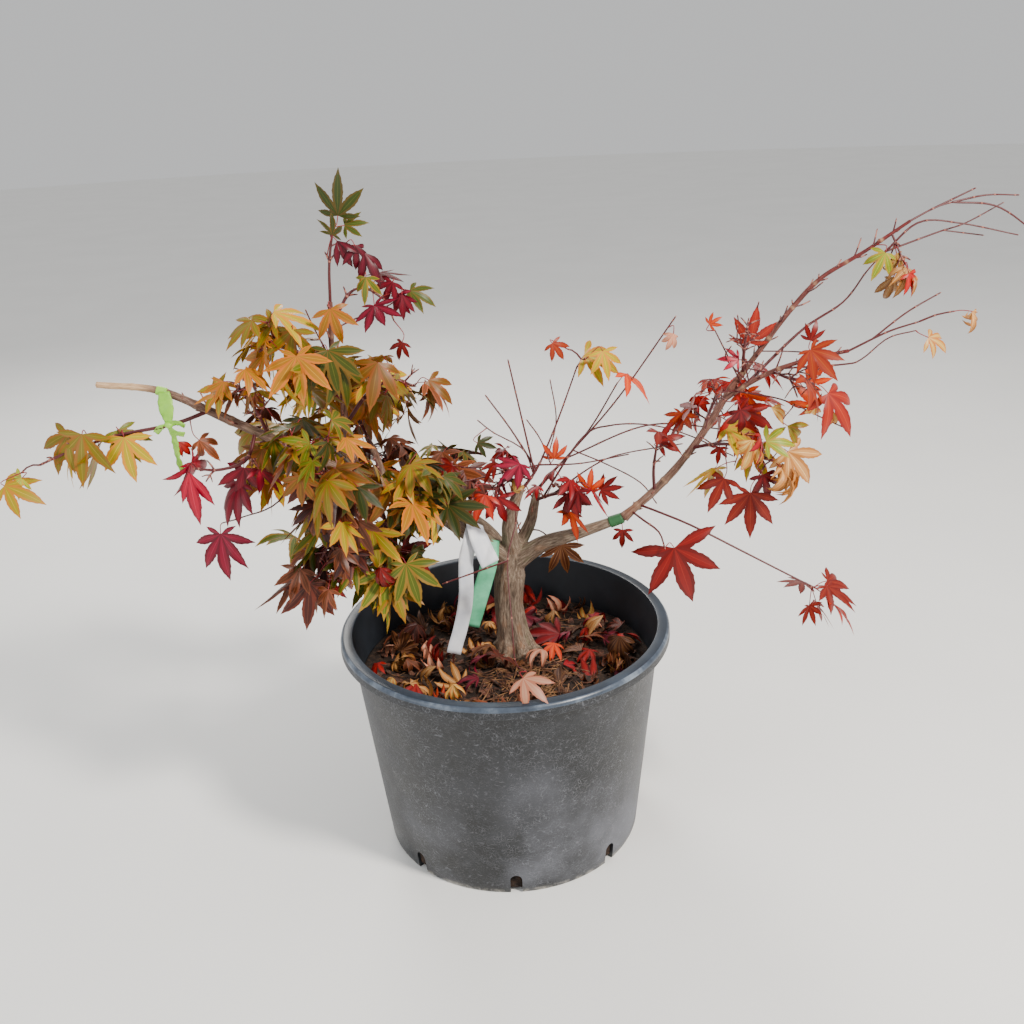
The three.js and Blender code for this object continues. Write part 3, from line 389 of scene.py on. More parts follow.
# A lobe's half width at shares of its length, where its inner blade ends across that width, where the palm
# of the leaf ends and how flat it stays, its rib's width, and the place and size of its teeth
LOBE = {
    "stations": (0.3, 0.42, 0.55, 0.69, 0.85),
    "widths": (0.1, 0.124, 0.132, 0.104, 0.05),
    "inner": 0.6,
    "palm": (0.25, 0.6),
    "palm_fold": 0.15,
    "rib": 0.009,
    "rib_taper": 0.7,
    "tooth": 0.014,
    "tooth_at": 0.72,
}

# The parts of a leaf that have a colour each
ZONES = ("rib", "blade", "edge")

# Side shoots: lengths, angles from the limb in radians, turn, lift and sag
SPUR = {
    "reach": (7, 34), "angle": (0.6, 0.95), "turn": 0.8, "lift": 0.3, "sag": 0.06, "radii": (1.2, 0.7),
    "first": 0.6, "two_nodes": 16, "bud": 2, "node": 0.6, "seed": 21,
}

# How far a single leaf's joint lies from its middle, how it faces the front, and its stalk and twig
LONE = {
    "joint": 0.35, "lean": -0.2, "face": (-0.75, 0.62), "sway": (0.5, 0.3), "fold": (-0.15, 0.35),
    "twist": 0.5, "dry": {"curl": 1.5, "fold": 0.5, "spread": 0.74}, "longest_stalk": 34, "stalk": 24,
    "stalk_from": (0, 2, 3), "along_lobe": 7, "along_stalk": 4, "twig": (1.2, 0.9), "twig_rise": 0.08,
    "bud": 3, "root": 0.8, "rings": 7, "seed": 5,
}

# Kinds of leaf: the angle and length of each lobe
LEAF_SHAPES = {
    3: ((0, 1), (31, 0.84), (-31, 0.84)),
    "closed": ((0, 1), (23, 0.66), (-26, 0.74)),
    5: ((0, 1), (41, 0.86), (-41, 0.86), (86, 0.54), (-86, 0.54)),
    "wide": ((0, 1), (46, 0.82), (-46, 0.82), (98, 0.7), (-98, 0.7)),
    7: ((0, 1), (36, 0.92), (-36, 0.92), (73, 0.72), (-73, 0.72), (114, 0.36), (-114, 0.36)),
}

# Rib, blade and edge of a leaf of each tint
TINTS = {
    "olive": (0x787C24, 0x525C0C, 0x8E6A1C),
    "moss": (0x585E1C, 0x38440C, 0x5C4A16),
    "gold": (0xC8AE34, 0xA48E0A, 0xC27E1C),
    "amber": (0xB08024, 0x94600A, 0xB2621C),
    "russet": (0x8C502A, 0x6A3416, 0x8E4A2C),
    "plum": (0x643220, 0x441A12, 0x642A1C),
    "rose": (0xBA2840, 0xA00C2A, 0x800822),
    "wine": (0x961C3A, 0x7A0A26, 0x5C081C),
    "scarlet": (0xBE2816, 0xA4120A, 0x840C06),
    "crimson": (0xAA1E1C, 0x8C0A14, 0x700812),
    "orange": (0xDC6A20, 0xC83E0C, 0xB43008),
    "coral": (0xC4462A, 0xA82A16, 0x921E14),
    "blush": (0xE48C78, 0xE8AA88, 0xDC8868),
    "straw": (0xE0B878, 0xB8824A, 0xA0662C),
    "cream": (0xF0D090, 0xD8A850, 0xC87830),
    "lime": (0xC8CC58, 0x8A9A1C, 0xB49428),
    "brown": (0x946844, 0x4E2814, 0x6A4020),
    "umber": (0x6A4430, 0x3C2216, 0x54321E),
}

# The record's slot for a tint that has none of its own
RECORD_TINTS = {"cream": "straw", "lime": "olive", "moss": "olive", "brown": "russet", "umber": "plum"}

SHADES = (0.5, 0.85, 1.2)

# Long bare twigs: their points and their radius at the root
BARE_TWIGS = [
    ([(308, 36, 595), (379, 40, 656), (428, 40, 689), (454, 40, 725), (475, 44, 746)], 2.4),
    ([(475, 44, 746), (513, 46, 778), (562, 44, 775), (630, 40, 759)], 1.6),
    ([(478, 50, 745), (538, 50, 765), (571, 52, 774), (615, 56, 795)], 1.3),
    ([(546, 50, 763), (593, 50, 759)], 0.9),
    ([(349, 8, 618), (416, -14, 626), (437, -16, 632), (465, -18, 656), (496, -20, 664)], 1.3),
    ([(54, 25, 490), (34, 25, 525), (-2, 25, 549), (-21, 25, 566)], 1.1),
    ([(54, 10, 505), (-15, 6, 498), (-85, -6, 488)], 1.2),
    ([(54, 10, 505), (104, 6, 510), (163, 0, 521)], 1.2),
    ([(71, 30, 501), (56, 30, 536), (40, 30, 562)], 1),
    ([(73, 40, 511), (77, 40, 557), (71, 40, 609)], 1),
    ([(65, 44, 444), (109, 44, 530), (146, 42, 546), (195, 36, 546), (243, 30, 532), (298, 24, 504)], 1.5),
    ([(77, 34, 453), (123, 30, 498), (160, 24, 514), (232, 16, 526)], 1.3),
    ([(92, 36, 521), (140, 30, 498), (181, 24, 474), (201, 18, 447)], 1),
    ([(300, 20, 600), (282, 8, 640), (268, 12, 668)], 1),
    ([(322, 22, 636), (316, 14, 676), (318, 8, 700)], 1.1),
    ([(-180, 6, 640), (-206, 10, 690), (-214, 6, 716)], 1),
    ([(-186, 6, 690), (-160, 20, 700), (-120, 30, 712), (-94, 34, 728)], 1.2),
    ([(-230, -20, 546), (-262, -50, 500), (-306, -62, 486), (-330, -62, 480)], 1.2),
    ([(310, 16, 609), (301, 12, 647), (293, 6, 686)], 1),
    ([(315, 16, 617), (342, 4, 613), (366, -4, 608)], 0.9),
    ([(280, 6, 598), (311, -10, 594), (347, -20, 587), (388, -26, 567), (419, -30, 552)], 1.2),
    ([(329, 18, 633), (363, 24, 635), (400, 28, 630)], 0.9),
    ([(295, 8, 599), (272, -10, 596), (257, -20, 571), (253, -24, 557)], 1.1),
    ([(308, 14, 607), (280, 0, 636), (284, -6, 652)], 0.9),
]

# A bare twig's radius at the tip, how near its middle comes to that, and how far apart its nodes are
BARE_TWIG = {"tip": 0.8, "taper": 0.7, "node_gap": 42, "anchors_from": 0.15}

# How many opposite pairs of short side shoots each limb has, and how far along it they go
SPURS = {
    "right_bough_top": (11, 0.96),
    "right_bough_upper": (8, 0.96),
    "right_bough_outer": (6, 0.96),
    "left_leader": (5, 0.96),
    "left_leader_top": (6, 0.96),
    "left_bough_outer": (8, 0.72),
    "left_stem": (3, 0.9),
    "right_stem": (3, 0.9),
    "left_back_bough": (3, 0.9),
}

# Leaves that stand out: middle, heading of the middle lobe in degrees, length, tint, lobes and curl
LONE_LEAVES = [
    ((-163, 0, 838), 84, 50, "moss", 5, 0.3),
    ((-148, 0, 812), 10, 30, "moss", 5, 0.6),
    ((-163, 0, 783), -62, 36, "wine", 3, 0.8),
    ((-134, 8, 765), -66, 42, "wine", 3, 0.9),
    ((-148, 4, 775), -85, 34, "wine", 5, 1.2),
    ((-140, -4, 741), -95, 32, "olive", 5, 0.6),
    ((-118, 18, 732), -125, 34, "rose", 5, 0.9),
    ((-101, 8, 717), -92, 34, "rose", 3, 0.6),
    ((-80, 30, 724), -18, 40, "moss", 5, 0.5),
    ((-262, -30, 706), 196, 46, "gold", 5, 0.5),
    ((-226, -40, 684), -98, 54, "gold", 5, 0.4),
    ((-175, -30, 708), -72, 44, "amber", 5, 0.6),
    ((-180, -52, 660), -78, 58, "olive", 7, 0.4),
    ((-110, 18, 662), -120, 26, "scarlet", 5, 0.9),
    ((-314, -40, 637), 30, 33, "gold", 7, 0.1),
    ((-66, 20, 610), -42, 46, "amber", 5, 0.8),
    ((-146, -104, 459), -84, 58, "gold", 7, 0.3),
    ((-106, -102, 412), -74, 60, "olive", 7, 0.3),
    ((-204, -106, 405), -90, 36, "scarlet", 5, 0.5),
    ((-300, -64, 533), -108, 46, "rose", 5, 0.7),
    ((-358, -68, 524), -88, 66, "rose", "closed", 0.3),
    ((-473, -77, 579), -97, 66, "gold", 5, 0.35),
    ((-501, -68, 584), -125, 58, "gold", 5, 0.5),
    ((-425, -70, 573), -88, 60, "gold", 5, 0.4),
    ((-427, -59, 586), -60, 46, "lime", 5, 0.6),
    ((-553, -81, 540), -18, 50, "gold", 5, 0.6),
    ((-561, -72, 545), -150, 34, "lime", 5, 0.8),
    ((-364, -52, 574), -45, 27, "scarlet", 3, 1.2),
    ((-338, -46, 571), -40, 36, "russet", 5, 1.5),
    ((-334, -64, 444), -88, 60, "wine", 7, 0.4),
    ((-211, -116, 535), -92, 48, "plum", 5, 0.5),
    ((-167, -112, 478), -100, 54, "russet", 7, 0.5),
    ((-219, -114, 584), -155, 46, "lime", 5, 0.4),
    ((-112, -64, 492), -70, 56, "olive", 7, 0.4),
    ((-14, 18, 536), -15, 27, "moss", 5, 0.8),
    ((2, -24, 466), -80, 44, "crimson", 5, 0.7),
    ((-22, -14, 476), 190, 30, "plum", 5, 0.6),
    ((24, -12, 490), 60, 26, "cream", 5, 2.4),
    ((94, 2, 458), -64, 42, "crimson", 7, 0.5),
    ((116, 10, 482), 86, 34, "orange", 5, 0.9),
    ((140, 8, 474), 12, 32, "scarlet", 7, 0.3),
    ((154, -10, 414), -94, 28, "scarlet", 5, 0.9),
    ((74, 22, 522), 80, 32, "orange", 5, 0.8),
    # The leaf behind the trunk is brown partly as painted shade, because it hangs in shade there
    ((84, 84, 348), -80, 46, "brown", 7, 0.5),
    ((266, 10, 680), 40, 20, "orange", 5, 0.7),
    ((312, 8, 666), 82, 46, "coral", 5, 0.5),
    ((286, 0, 636), 165, 27, "rose", 5, 0.6),
    ((385, 6, 660), 70, 27, "scarlet", 5, 0.8),
    ((375, -22, 590), 120, 42, "orange", 5, 0.7),
    ((408, -38, 580), -52, 64, "coral", 5, 0.8),
    ((392, 16, 606), 62, 36, "orange", 5, 0.8),
    ((290, -58, 576), -76, 38, "crimson", 5, 1.3),
    ((298, -64, 536), -100, 50, "cream", 5, 1.7),
    ((333, -60, 551), 8, 44, "lime", 5, 0.9),
    ((356, -50, 558), -28, 38, "gold", 3, 1.2),
    ((338, -40, 581), -18, 34, "cream", 3, 1.3),
    ((379, -36, 576), -100, 28, "cream", 5, 2.2),
    ((401, -34, 566), -95, 30, "cream", 3, 1.6),
    ((358, -60, 520), -48, 58, "straw", 5, 0.9),
    ((305, -50, 462), -90, 54, "coral", 7, 0.3),
    ((266, -46, 486), -118, 46, "coral", 5, 0.6),
    ((324, -48, 490), -72, 40, "crimson", 5, 0.9),
    ((272, -12, 521), -100, 23, "scarlet", 5, 0.7),
    ((489, 22, 734), -60, 42, "cream", 5, 1.9),
    ((502, 26, 712), -80, 40, "cream", 5, 2.2),
    ((492, -8, 718), -66, 32, "scarlet", 5, 0.8),
    ((461, 18, 738), -120, 36, "lime", 5, 0.9),
    ((474, 16, 708), -110, 38, "straw", 5, 1.9),
    ((521, -30, 652), -22, 38, "cream", 5, 1.1),
    ((212, -10, 663), -112, 26, "blush", 5, 1.8),
    ((213, 0, 540), 24, 38, "scarlet", 5, 1),
    ((220, -64, 390), -74, 85, "scarlet", "wide", 0.45),
    ((138, 20, 634), -76, 38, "gold", 5, 0.5),
    ((80, 20, 652), -50, 28, "orange", 5, 0.8),
]

# The leaf over the front of the rim: its joint, middle lobe and face, then length, tint, lobes and curl
RIM_LEAF = {
    "joint": (20, -186, 322),
    "lobe": (0.62, -0.62, -0.36),
    "face": (-0.1, -0.5, 0.85),
    "kind": (44, "blush", 5, 0.8),
}

# How many chips, straws and leaves lie on the compost
LITTER = {"chips": 520, "straws": 260, "leaves": 150, "seed": 7}

# Sizes run from one value to another, and spots are the room to the wall and to the trunk
CHIP = {"length": (5, 16), "width": (3, 7), "height": (1, 2.8), "tilt": 0.9, "corners": 13, "spots": (14, 26)}

STRAW = {
    "reach": (12, 30), "bow": 0.5, "width": (0.4, 1.1), "taper": (1, 0.8, 0.4), "lift": (2.5, 3),
    "spots": (30, 30), "front": ((30, 130), (-60, 110)), "wall_room": 4, "sides": 5, "rings": 8,
}

# The fallen leaves thin out in an ellipse in front of the trunk, and keep off the set ones
FALLEN = {
    "length": (24, 52), "curl": (0.7, 2.9), "fold": (0.1, 0.9), "spread": (0.74, 1), "twist": 1.6,
    "tilt": 0.8, "lobes": (3, 5, 5, 7), "flip": (0.9, 0.6), "prop": (50, 0.75), "sink": (-3, 1),
    "bright": 0.65, "shades": (0.6, 0.95), "spots": (24, 40), "bare_spot": ((25, 75), (-80, 60), 0.7),
    "set_room": 22, "wall_room": 3,
}

# The compost's rings, its gaps to the wall at the top and the foot, and how deep and wide its grain is
COMPOST = {"sides": 180, "rings": 56, "flat_rings": 4, "gap": 0.4, "foot_gap": 0.8, "grain": (4.2, 17)}

# Fallen leaves that lie as in the photo: place, length, tint and curl
SET_LITTER = [
    ((57, 46), 56, "crimson", 0.35),
    ((62, 6), 34, "orange", 0.6),
    ((108, -6), 32, "scarlet", 0.7),
    ((37, 127), 22, "scarlet", 0.7),
    ((-170, -24), 28, "scarlet", 0.8),
    ((-146, 64), 46, "russet", 1),
    ((-95, -22), 42, "blush", 1.6),
    ((-84, -76), 26, "orange", 1.2),
    ((116, 116), 34, "cream", 2.4),
    ((109, 146), 30, "brown", 2.2),
    ((141, 31), 38, "wine", 0.8),
    ((152, 66), 40, "plum", 1),
    ((-158, 26), 34, "blush", 1.8),
    ((-150, -70), 30, "cream", 1.6),
    ((-70, -52), 44, "straw", 1.5),
    ((-104, -46), 40, "straw", 2),
    ((-66, -96), 34, "cream", 2.2),
    ((66, 92), 34, "straw", 1.4),
    ((84, -28), 32, "crimson", 0.9),
]

LITTER_TINTS = (
    "brown", "umber", "brown", "plum", "russet", "straw", "brown", "wine", "russet", "crimson", "scarlet",
    "straw", "brown", "blush",
)

# Middle lines of the label strips, and the direction that they are wide across
LABELS = {
    "across": (0.87, 0.12, -0.48),
    "thickness": 0.5,
    "white_width": 19,
    "tongue_width": 25,
    "green_width": 22,
    "tongue": [
        (-36, 38, 402), (-36, 33, 424), (-33, 16, 432), (-29, -2, 424), (-20, -12, 402), (-14, -16, 388),
    ],
    "tail": [
        (-33, 16, 432), (-38, -4, 418), (-45, -12, 392), (-47, -20, 352), (-54, -16, 312), (-68, -28, 268),
    ],
    "green": [(-12, 16, 408), (-15, -1, 388), (-28, -8, 346), (-44, -12, 298)],
}

# The tape and the ribbon's band: a limb, a stretch of it and how thick they are. The rest hangs
# from the knot of the ribbon.
TIES = {
    "right": ("right_bough", 0.9, 0.99, 1.4),
    "left": ("left_bough_outer", 0.765, 0.8, 1.2),
    "ribbon_width": 8,
    "loop_width": 16.8,
    "loop": [(0, -6.4, 3), (1, -12, -10), (2, -15, -22), (2, -15, -33)],
    "tail": [(2, -16, -34), (6, -17, -52), (5, -13, -72), (7, -12, -94)],
    "wings": [
        [(2, -16, -34), (-7, -19, -36), (-14, -17, -43)],
        [(2, -16, -34), (12, -19, -31), (21, -18, -36)],
        [(2, -16, -34), (10, -21, -42), (19, -18, -46)],
    ],
    "heart": [(-1.5, -16, -33), (2, -17.5, -34), (5.5, -16, -35)],
    "heart_radii": (3, 4, 3),
    "sides": 24,
    "rings": 8,
}

STRIP_COLUMNS = 7

# The largest number of 32 bits
WORD = 0xFFFFFFFF


def mix(start, end, share):
    return start + (end - start) * share


def times(a, b):
    return (a * b) & WORD


def random(seed):
    """A repeatable stream of numbers from 0 to 1."""
    state = times(seed, 2654435761)

    def draw():
        nonlocal state
        state = (state + 0x6D2B79F5) & WORD
        mixed = times(state ^ (state >> 15), state | 1)
        mixed ^= (mixed + times(mixed ^ (mixed >> 7), mixed | 61)) & WORD
        return ((mixed ^ (mixed >> 14)) & WORD) / (WORD + 1)

    return draw


def unit(vector):
    return vector / np.linalg.norm(vector)


def read_at(values, t):
    """Reads at t, from 0 to 1, what evenly spaced values say."""
    return np.interp(t, np.linspace(0, 1, len(values)), values)


def ball_round(points):
    """The middle of some points, and how far off the furthest lies."""
    centre = points.mean(axis=0)
    return centre, np.linalg.norm(points - centre, axis=1).max()


class Curve:
    """A smooth curve through points."""

    def __init__(self, points):
        points = np.array(points, float)
        before = 2 * points[0] - points[1]
        after = 2 * points[-1] - points[-2]
        self.points = np.vstack([before, points, after])
        steps = np.diff(self.at(np.linspace(0, 1, CURVE["samples"])), axis=0)
        self.length = np.linalg.norm(steps, axis=1).sum()

    def at(self, t):
        t = np.clip(np.asarray(t, float), 0, 1)
        count = len(self.points) - 3
        place = t * count
        index = np.minimum(place.astype(int), count - 1)
        w = (place - index)[..., None]
        p0, p1, p2, p3 = (self.points[index + k] for k in range(4))
        start = 0.5 * (p2 - p0)
        end = 0.5 * (p3 - p1)
        cube = (2 * p1 - 2 * p2 + start + end) * w**3
        return cube + (3 * p2 - 3 * p1 - 2 * start - end) * w**2 + start * w + p1

    def ahead(self, t):
        t = np.asarray(t, float)
        step = self.at(np.minimum(t + CURVE["nudge"], 1)) - self.at(np.maximum(t - CURVE["nudge"], 0))
        return step / np.linalg.norm(step, axis=-1, keepdims=True)

    def frame(self, t):
        """Points on the curve, the direction ahead there and two directions across it."""
        along = np.abs(self.ahead(np.linspace(0, 1, 5))).max(axis=0)
        ahead = self.ahead(t)
        side = np.cross(np.eye(3)[along.argmin()], ahead)
        side /= np.linalg.norm(side, axis=-1, keepdims=True)
        return self.at(t), ahead, side, np.cross(side, ahead)

    def steps(self, length, least):
        """How many steps of about a length go into the curve."""
        return max(least, round(self.length / length))

    def nodes(self, gap, end=1):
        """Places of nodes that lie about a gap apart, up to the end."""
        count = self.steps(gap, 1)
        return [end * (i + 1) / (count + 1) for i in range(count)]


class Pile:
    """Collects the faces of many small shapes, each face with its material's number."""

    def __init__(self):
        self.points = []
        self.faces = []
        self.numbers = []
        self.count = 0

    def add(self, points, faces, numbers=None):
        self.points.append(points)
        self.faces.extend(tuple(corner + self.count for corner in face) for face in faces)
        self.numbers.extend(numbers or [0] * len(faces))
        self.count += len(points)


def new_object(name, data):
    obj = bpy.data.objects.new(name, data)
    bpy.context.scene.collection.objects.link(obj)
    return obj


def make_object(name, points, faces, materials, numbers=None, smooth=True):
    mesh = bpy.data.meshes.new(name)
    mesh.from_pydata((np.asarray(points, float) * MM).tolist(), [], [list(face) for face in faces])
    for material in materials:
        mesh.materials.append(material)
    if numbers is not None:
        mesh.polygons.foreach_set("material_index", list(numbers))
    mesh.polygons.foreach_set("use_smooth", [smooth] * len(mesh.polygons))
    mesh.update()
    return new_object(name, mesh)


def pile_object(name, pile, materials, smooth=True):
    return make_object(name, np.vstack(pile.points), pile.faces, materials, pile.numbers, smooth)


def place(obj, slot_name, nodes=()):
    """Lets a piece ride on the plant and stand for CAD nodes, which it hides. slot_name is not used."""
    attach(obj, "root")
    if nodes:
        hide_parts(*nodes)


def colour(value, factor=1.0):
    """A linear colour from a hex number."""
    channels = [((value >> shift) & 255) / 255 for shift in (16, 8, 0)]
    linear = [c / 12.92 if c <= 0.04045 else ((c + 0.055) / 1.055) ** 2.4 for c in channels]
    return tuple(min(c * factor, 1) for c in linear) + (1,)


def new_material(name, roughness):
    material = bpy.data.materials.new(name)
    material.use_nodes = True
    tree = material.node_tree
    tree.nodes["Principled BSDF"].inputs["Roughness"].default_value = roughness
    return material, tree


def set_input(tree, socket, value):
    """Links an input to another node's output, or gives it a plain value."""
    if isinstance(value, bpy.types.NodeSocket):
        tree.links.new(value, socket)
    else:
        socket.default_value = value


def wire(tree, **values):
    """Gives the material's shader its inputs, named with underscores for blanks."""
    shader = tree.nodes["Principled BSDF"]
    for name, value in values.items():
        set_input(tree, shader.inputs[name.replace("_", " ")], value)


def plain_material(name, value, factor, roughness, gloss=0.5):
    material, tree = new_material(name, roughness)
    wire(tree, Base_Color=colour(value, factor), Specular_IOR_Level=gloss)
    return material


def clouded_material(name, roughness, cloud, stops, bumps=None, rough=None):
    """Colours that cloud into each other. bumps are a scale, strength and depth, rough is a range."""
    material, tree = new_material(name, roughness)
    vector = object_vector(tree)
    clouds = noise_at(tree, vector, *cloud)
    wire(tree, Base_Color=ramp(tree, clouds, stops))
    if rough:
        wire(tree, Roughness=level(tree, clouds, 0.3, 0.7, *rough))
    if bumps:
        scale, strength, distance = bumps
        wire(tree, Normal=bump(tree, noise_at(tree, vector, scale, 3), strength, distance))
    return material


def node(tree, kind, **values):
    """Adds a shader node, setting its named inputs and properties."""
    made = tree.nodes.new(kind)
    for key, value in values.items():
        if key in made.inputs:
            set_input(tree, made.inputs[key], value)
        else:
            setattr(made, key, value)
    return made


def vector_maths(tree, operation, *values):
    made = node(tree, "ShaderNodeVectorMath", operation=operation)
    for socket, value in zip(made.inputs, values):
        set_input(tree, socket, value)
    return made.outputs[0]


def scaled(tree, source, scale):
    """A vector stretched along its axes."""
    return vector_maths(tree, "MULTIPLY", source, scale)


def noise_at(tree, vector, scale, detail=4, roughness=0.55):
    made = node(tree, "ShaderNodeTexNoise", Vector=vector, Scale=scale, Detail=detail, Roughness=roughness)
    return made.outputs["Fac"]


def ramp(tree, factor, stops):
    """A colour ramp through (place, hex colour) stops."""
    made = node(tree, "ShaderNodeValToRGB", Fac=factor)
    elements = made.color_ramp.elements
    while len(elements) < len(stops):
        elements.new(0.5)
    for element, (at, value) in zip(elements, stops):
        element.position = at
        element.color = colour(value)
    return made.outputs["Color"]


def level(tree, value, low, high, start=0.0, end=1.0):
    """A value stretched from one range to another and held there."""
    made = node(tree, "ShaderNodeMapRange", clamp=True, Value=value)
    for name, number in (("From Min", low), ("From Max", high), ("To Min", start), ("To Max", end)):
        made.inputs[name].default_value = number
    return made.outputs["Result"]


def product(tree, first, second):
    return maths(tree, "MULTIPLY", first, second)


def maths(tree, operation, *values):
    made = node(tree, "ShaderNodeMath", operation=operation)
    for socket, value in zip(made.inputs, values):
        set_input(tree, socket, value)
    return made.outputs[0]


def blend_colours(tree, factor, first, second):
    made = node(tree, "ShaderNodeMix", data_type="RGBA", Factor=factor)
    for name, value in (("A", first), ("B", second)):
        socket = next(s for s in made.inputs if s.name == name and s.type == "RGBA")
        set_input(tree, socket, colour(value) if isinstance(value, int) else value)
    return next(s for s in made.outputs if s.type == "RGBA")


def bump(tree, height, strength, distance, **values):
    made = node(tree, "ShaderNodeBump", Strength=strength, Distance=distance, Height=height, **values)
    return made.outputs["Normal"]


def object_vector(tree):
    return node(tree, "ShaderNodeTexCoord").outputs["Object"]


def make_camera():
    right = Vector(CAMERA["right"])
    up = Vector(CAMERA["up"])
    turn = Matrix((right, up, right.cross(up))).transposed().to_4x4()
    data = bpy.data.cameras.new("camera")
    data.lens = CAMERA["lens"]
    data.sensor_width = CAMERA["sensor"]
    data.clip_end = CAMERA["sees"]
    camera = new_object("camera", data)
    camera.matrix_world = Matrix.Translation(Vector(CAMERA["place"]) * MM) @ turn
    bpy.context.scene.camera = camera


def add_light(name, spot, size, power, tint):
    data = bpy.data.lights.new(name, "AREA")
    data.shape = "DISK"
    data.size = size
    data.energy = power
    data.color = tint
    light = new_object(name, data)
    light.location = spot
    aim = Vector(LIT_POINT) - Vector(spot)
    light.rotation_euler = aim.to_track_quat("-Z", "Y").to_euler()


def make_studio():
    material = clouded_material("floor", 0.85, (2.5, 2), [(0.3, 0xF4F3F0), (0.7, 0xF8F7F4)])
    sides = FLOOR["sides"]
    points = np.column_stack([circle(sides) * FLOOR["reach"], np.full(sides, -FLOOR["drop"])])
    make_object("floor", points, [tuple(range(sides))], [material])
    for name, values in LIGHTS.items():
        add_light(name, *values)
    world = bpy.data.worlds.new("studio")
    world.use_nodes = True
    background = world.node_tree.nodes["Background"]
    background.inputs["Color"].default_value = SKY["colour"]
    background.inputs["Strength"].default_value = SKY["strength"]
    bpy.context.scene.world = world


def circle(sides):
    """Points of a circle of radius 1."""
    angles = np.linspace(0, 2 * math.pi, sides, endpoint=False)
    return np.stack([np.cos(angles), np.sin(angles)], axis=1)


def ring_faces(sides, rings, clockwise=False):
    """Quads between each ring of points and the next."""
    faces = []
    for start in range(0, rings * sides, sides):
        for k in range(sides):
            a = start + k
            b = start + (k + 1) % sides
            faces.append((a, a + sides, b + sides, b) if clockwise else (a, b, b + sides, a + sides))
    return faces


def fan(middle, first, sides, clockwise=False):
    """Triangles between a point and the ring that starts at another."""
    pairs = [(first + k, first + (k + 1) % sides) for k in range(sides)]
    return [(middle, b, a) if clockwise else (middle, a, b) for a, b in pairs]


def rings_along(curve, t, radius, sides):
    """Rings of points round a curve, with its own points and directions there."""
    point, ahead, side, over = curve.frame(t)
    ring = circle(sides)
    spread = side[:, None] * ring[:, :1] + over[:, None] * ring[:, 1:]
    return point, ahead, (point[:, None] + spread * radius[:, None, None]).reshape(-1, 3)


def tube(curve, radii, sides, rings):
    """A round limb along a curve, with a blunt cap at each end."""
    t = np.linspace(0, 1, rings + 1)
    radius = read_at(radii, t)
    middle, ahead, points = rings_along(curve, t, radius, sides)
    caps = [middle[0] - ahead[0] * radius[0] * CAPS[0], middle[-1] + ahead[-1] * radius[-1] * CAPS[1]]
    first, last = len(points), len(points) + 1
    faces = ring_faces(sides, rings, True)
    faces += fan(first, 0, sides) + fan(last, rings * sides, sides, True)
    return np.vstack([points, caps]), faces


def make_limbs():
    """Middle line and radii of the trunk and of each bough."""
    limbs = {"trunk": (Curve(TRUNK["path"]), TRUNK["radii"])}
    for name, (on, at, path, radii) in BOUGHS.items():
        start = limbs[on][0].at(at)
        limbs[name] = (Curve([start, *path]), radii)
    return limbs


class Stretches:
    """Short straight stretches along curves, each with its radius and its owner's name."""

    def __init__(self):
        self.starts = []
        self.ends = []
        self.radii = []
        self.owners = []

    def add(self, curve, radii, owner):
        count = curve.steps(STRETCH["length"], 2)
        points = curve.at(np.linspace(0, 1, count + 1))
        self.starts.extend(points[:-1])
        self.ends.extend(points[1:])
        self.radii.extend(read_at(radii, i / count) for i in range(count))
        self.owners.extend([owner] * count)

    def close(self):
        self.starts = np.array(self.starts)
        self.along = np.array(self.ends) - self.starts
        self.square = (self.along**2).sum(axis=1)
        self.radii = np.array(self.radii)
        self.owners = np.array(self.owners)

    def nearest(self, points, keep):
        """Distance from each point to the surfaces of the stretches that are kept."""
        centre, reach = ball_round(points)
        keep = keep & (np.linalg.norm(self.starts - centre, axis=1) < reach + STRETCH["look"])
        if not keep.any():
            return np.full(len(points), np.inf)
        starts, along, square = self.starts[keep], self.along[keep], self.square[keep]
        away = points[:, None] - starts[None]
        share = np.clip((away * along[None]).sum(axis=2) / square[None], 0, 1)
        gap = np.linalg.norm(away - share[..., None] * along[None], axis=2)
        return (gap - self.radii[keep][None]).min(axis=1)


def plan_masses(limbs):
    """Lays out every stem and shoot first, so that each mass knows its neighbours' space."""
    masses = {}
    for name, row in MASSES.items():
        spec = MASS | {"mix": {row["tint"]: 1}} | row
        parent, parent_radii = limbs[spec["on"]]
        curve = Curve([parent.at(spec["at"]), *spec["stem"]])
        root = min(STEM["root"], STEM["limb_share"] * read_at(parent_radii, spec["at"])) * spec["thin"]
        radii = (root, min(STEM["tip"], STEM["taper"] * root))
        shoots = []
        for at, tip, bow, leaves in spec["shoots"]:
            start = curve.at(at)
            middle = (start + tip) / 2 + (0, 0, bow)
            shoots.append((Curve([start, middle, tip]), leaves))
        balls = balls_of(curve, spec["reach"])
        for path, leaves in shoots:
            balls += balls_of(path, SHOOT["reach"])
            if leaves:
                balls.append((*path.at(1), REACH))
        masses[name] = {"spec": spec, "curve": curve, "radii": radii, "shoots": shoots, "balls": balls}
    return masses


def balls_of(curve, reach):
    return [(*point, reach) for point in curve.at(np.linspace(0, 1, curve.steps(BALL_STEP, 1) + 1))]


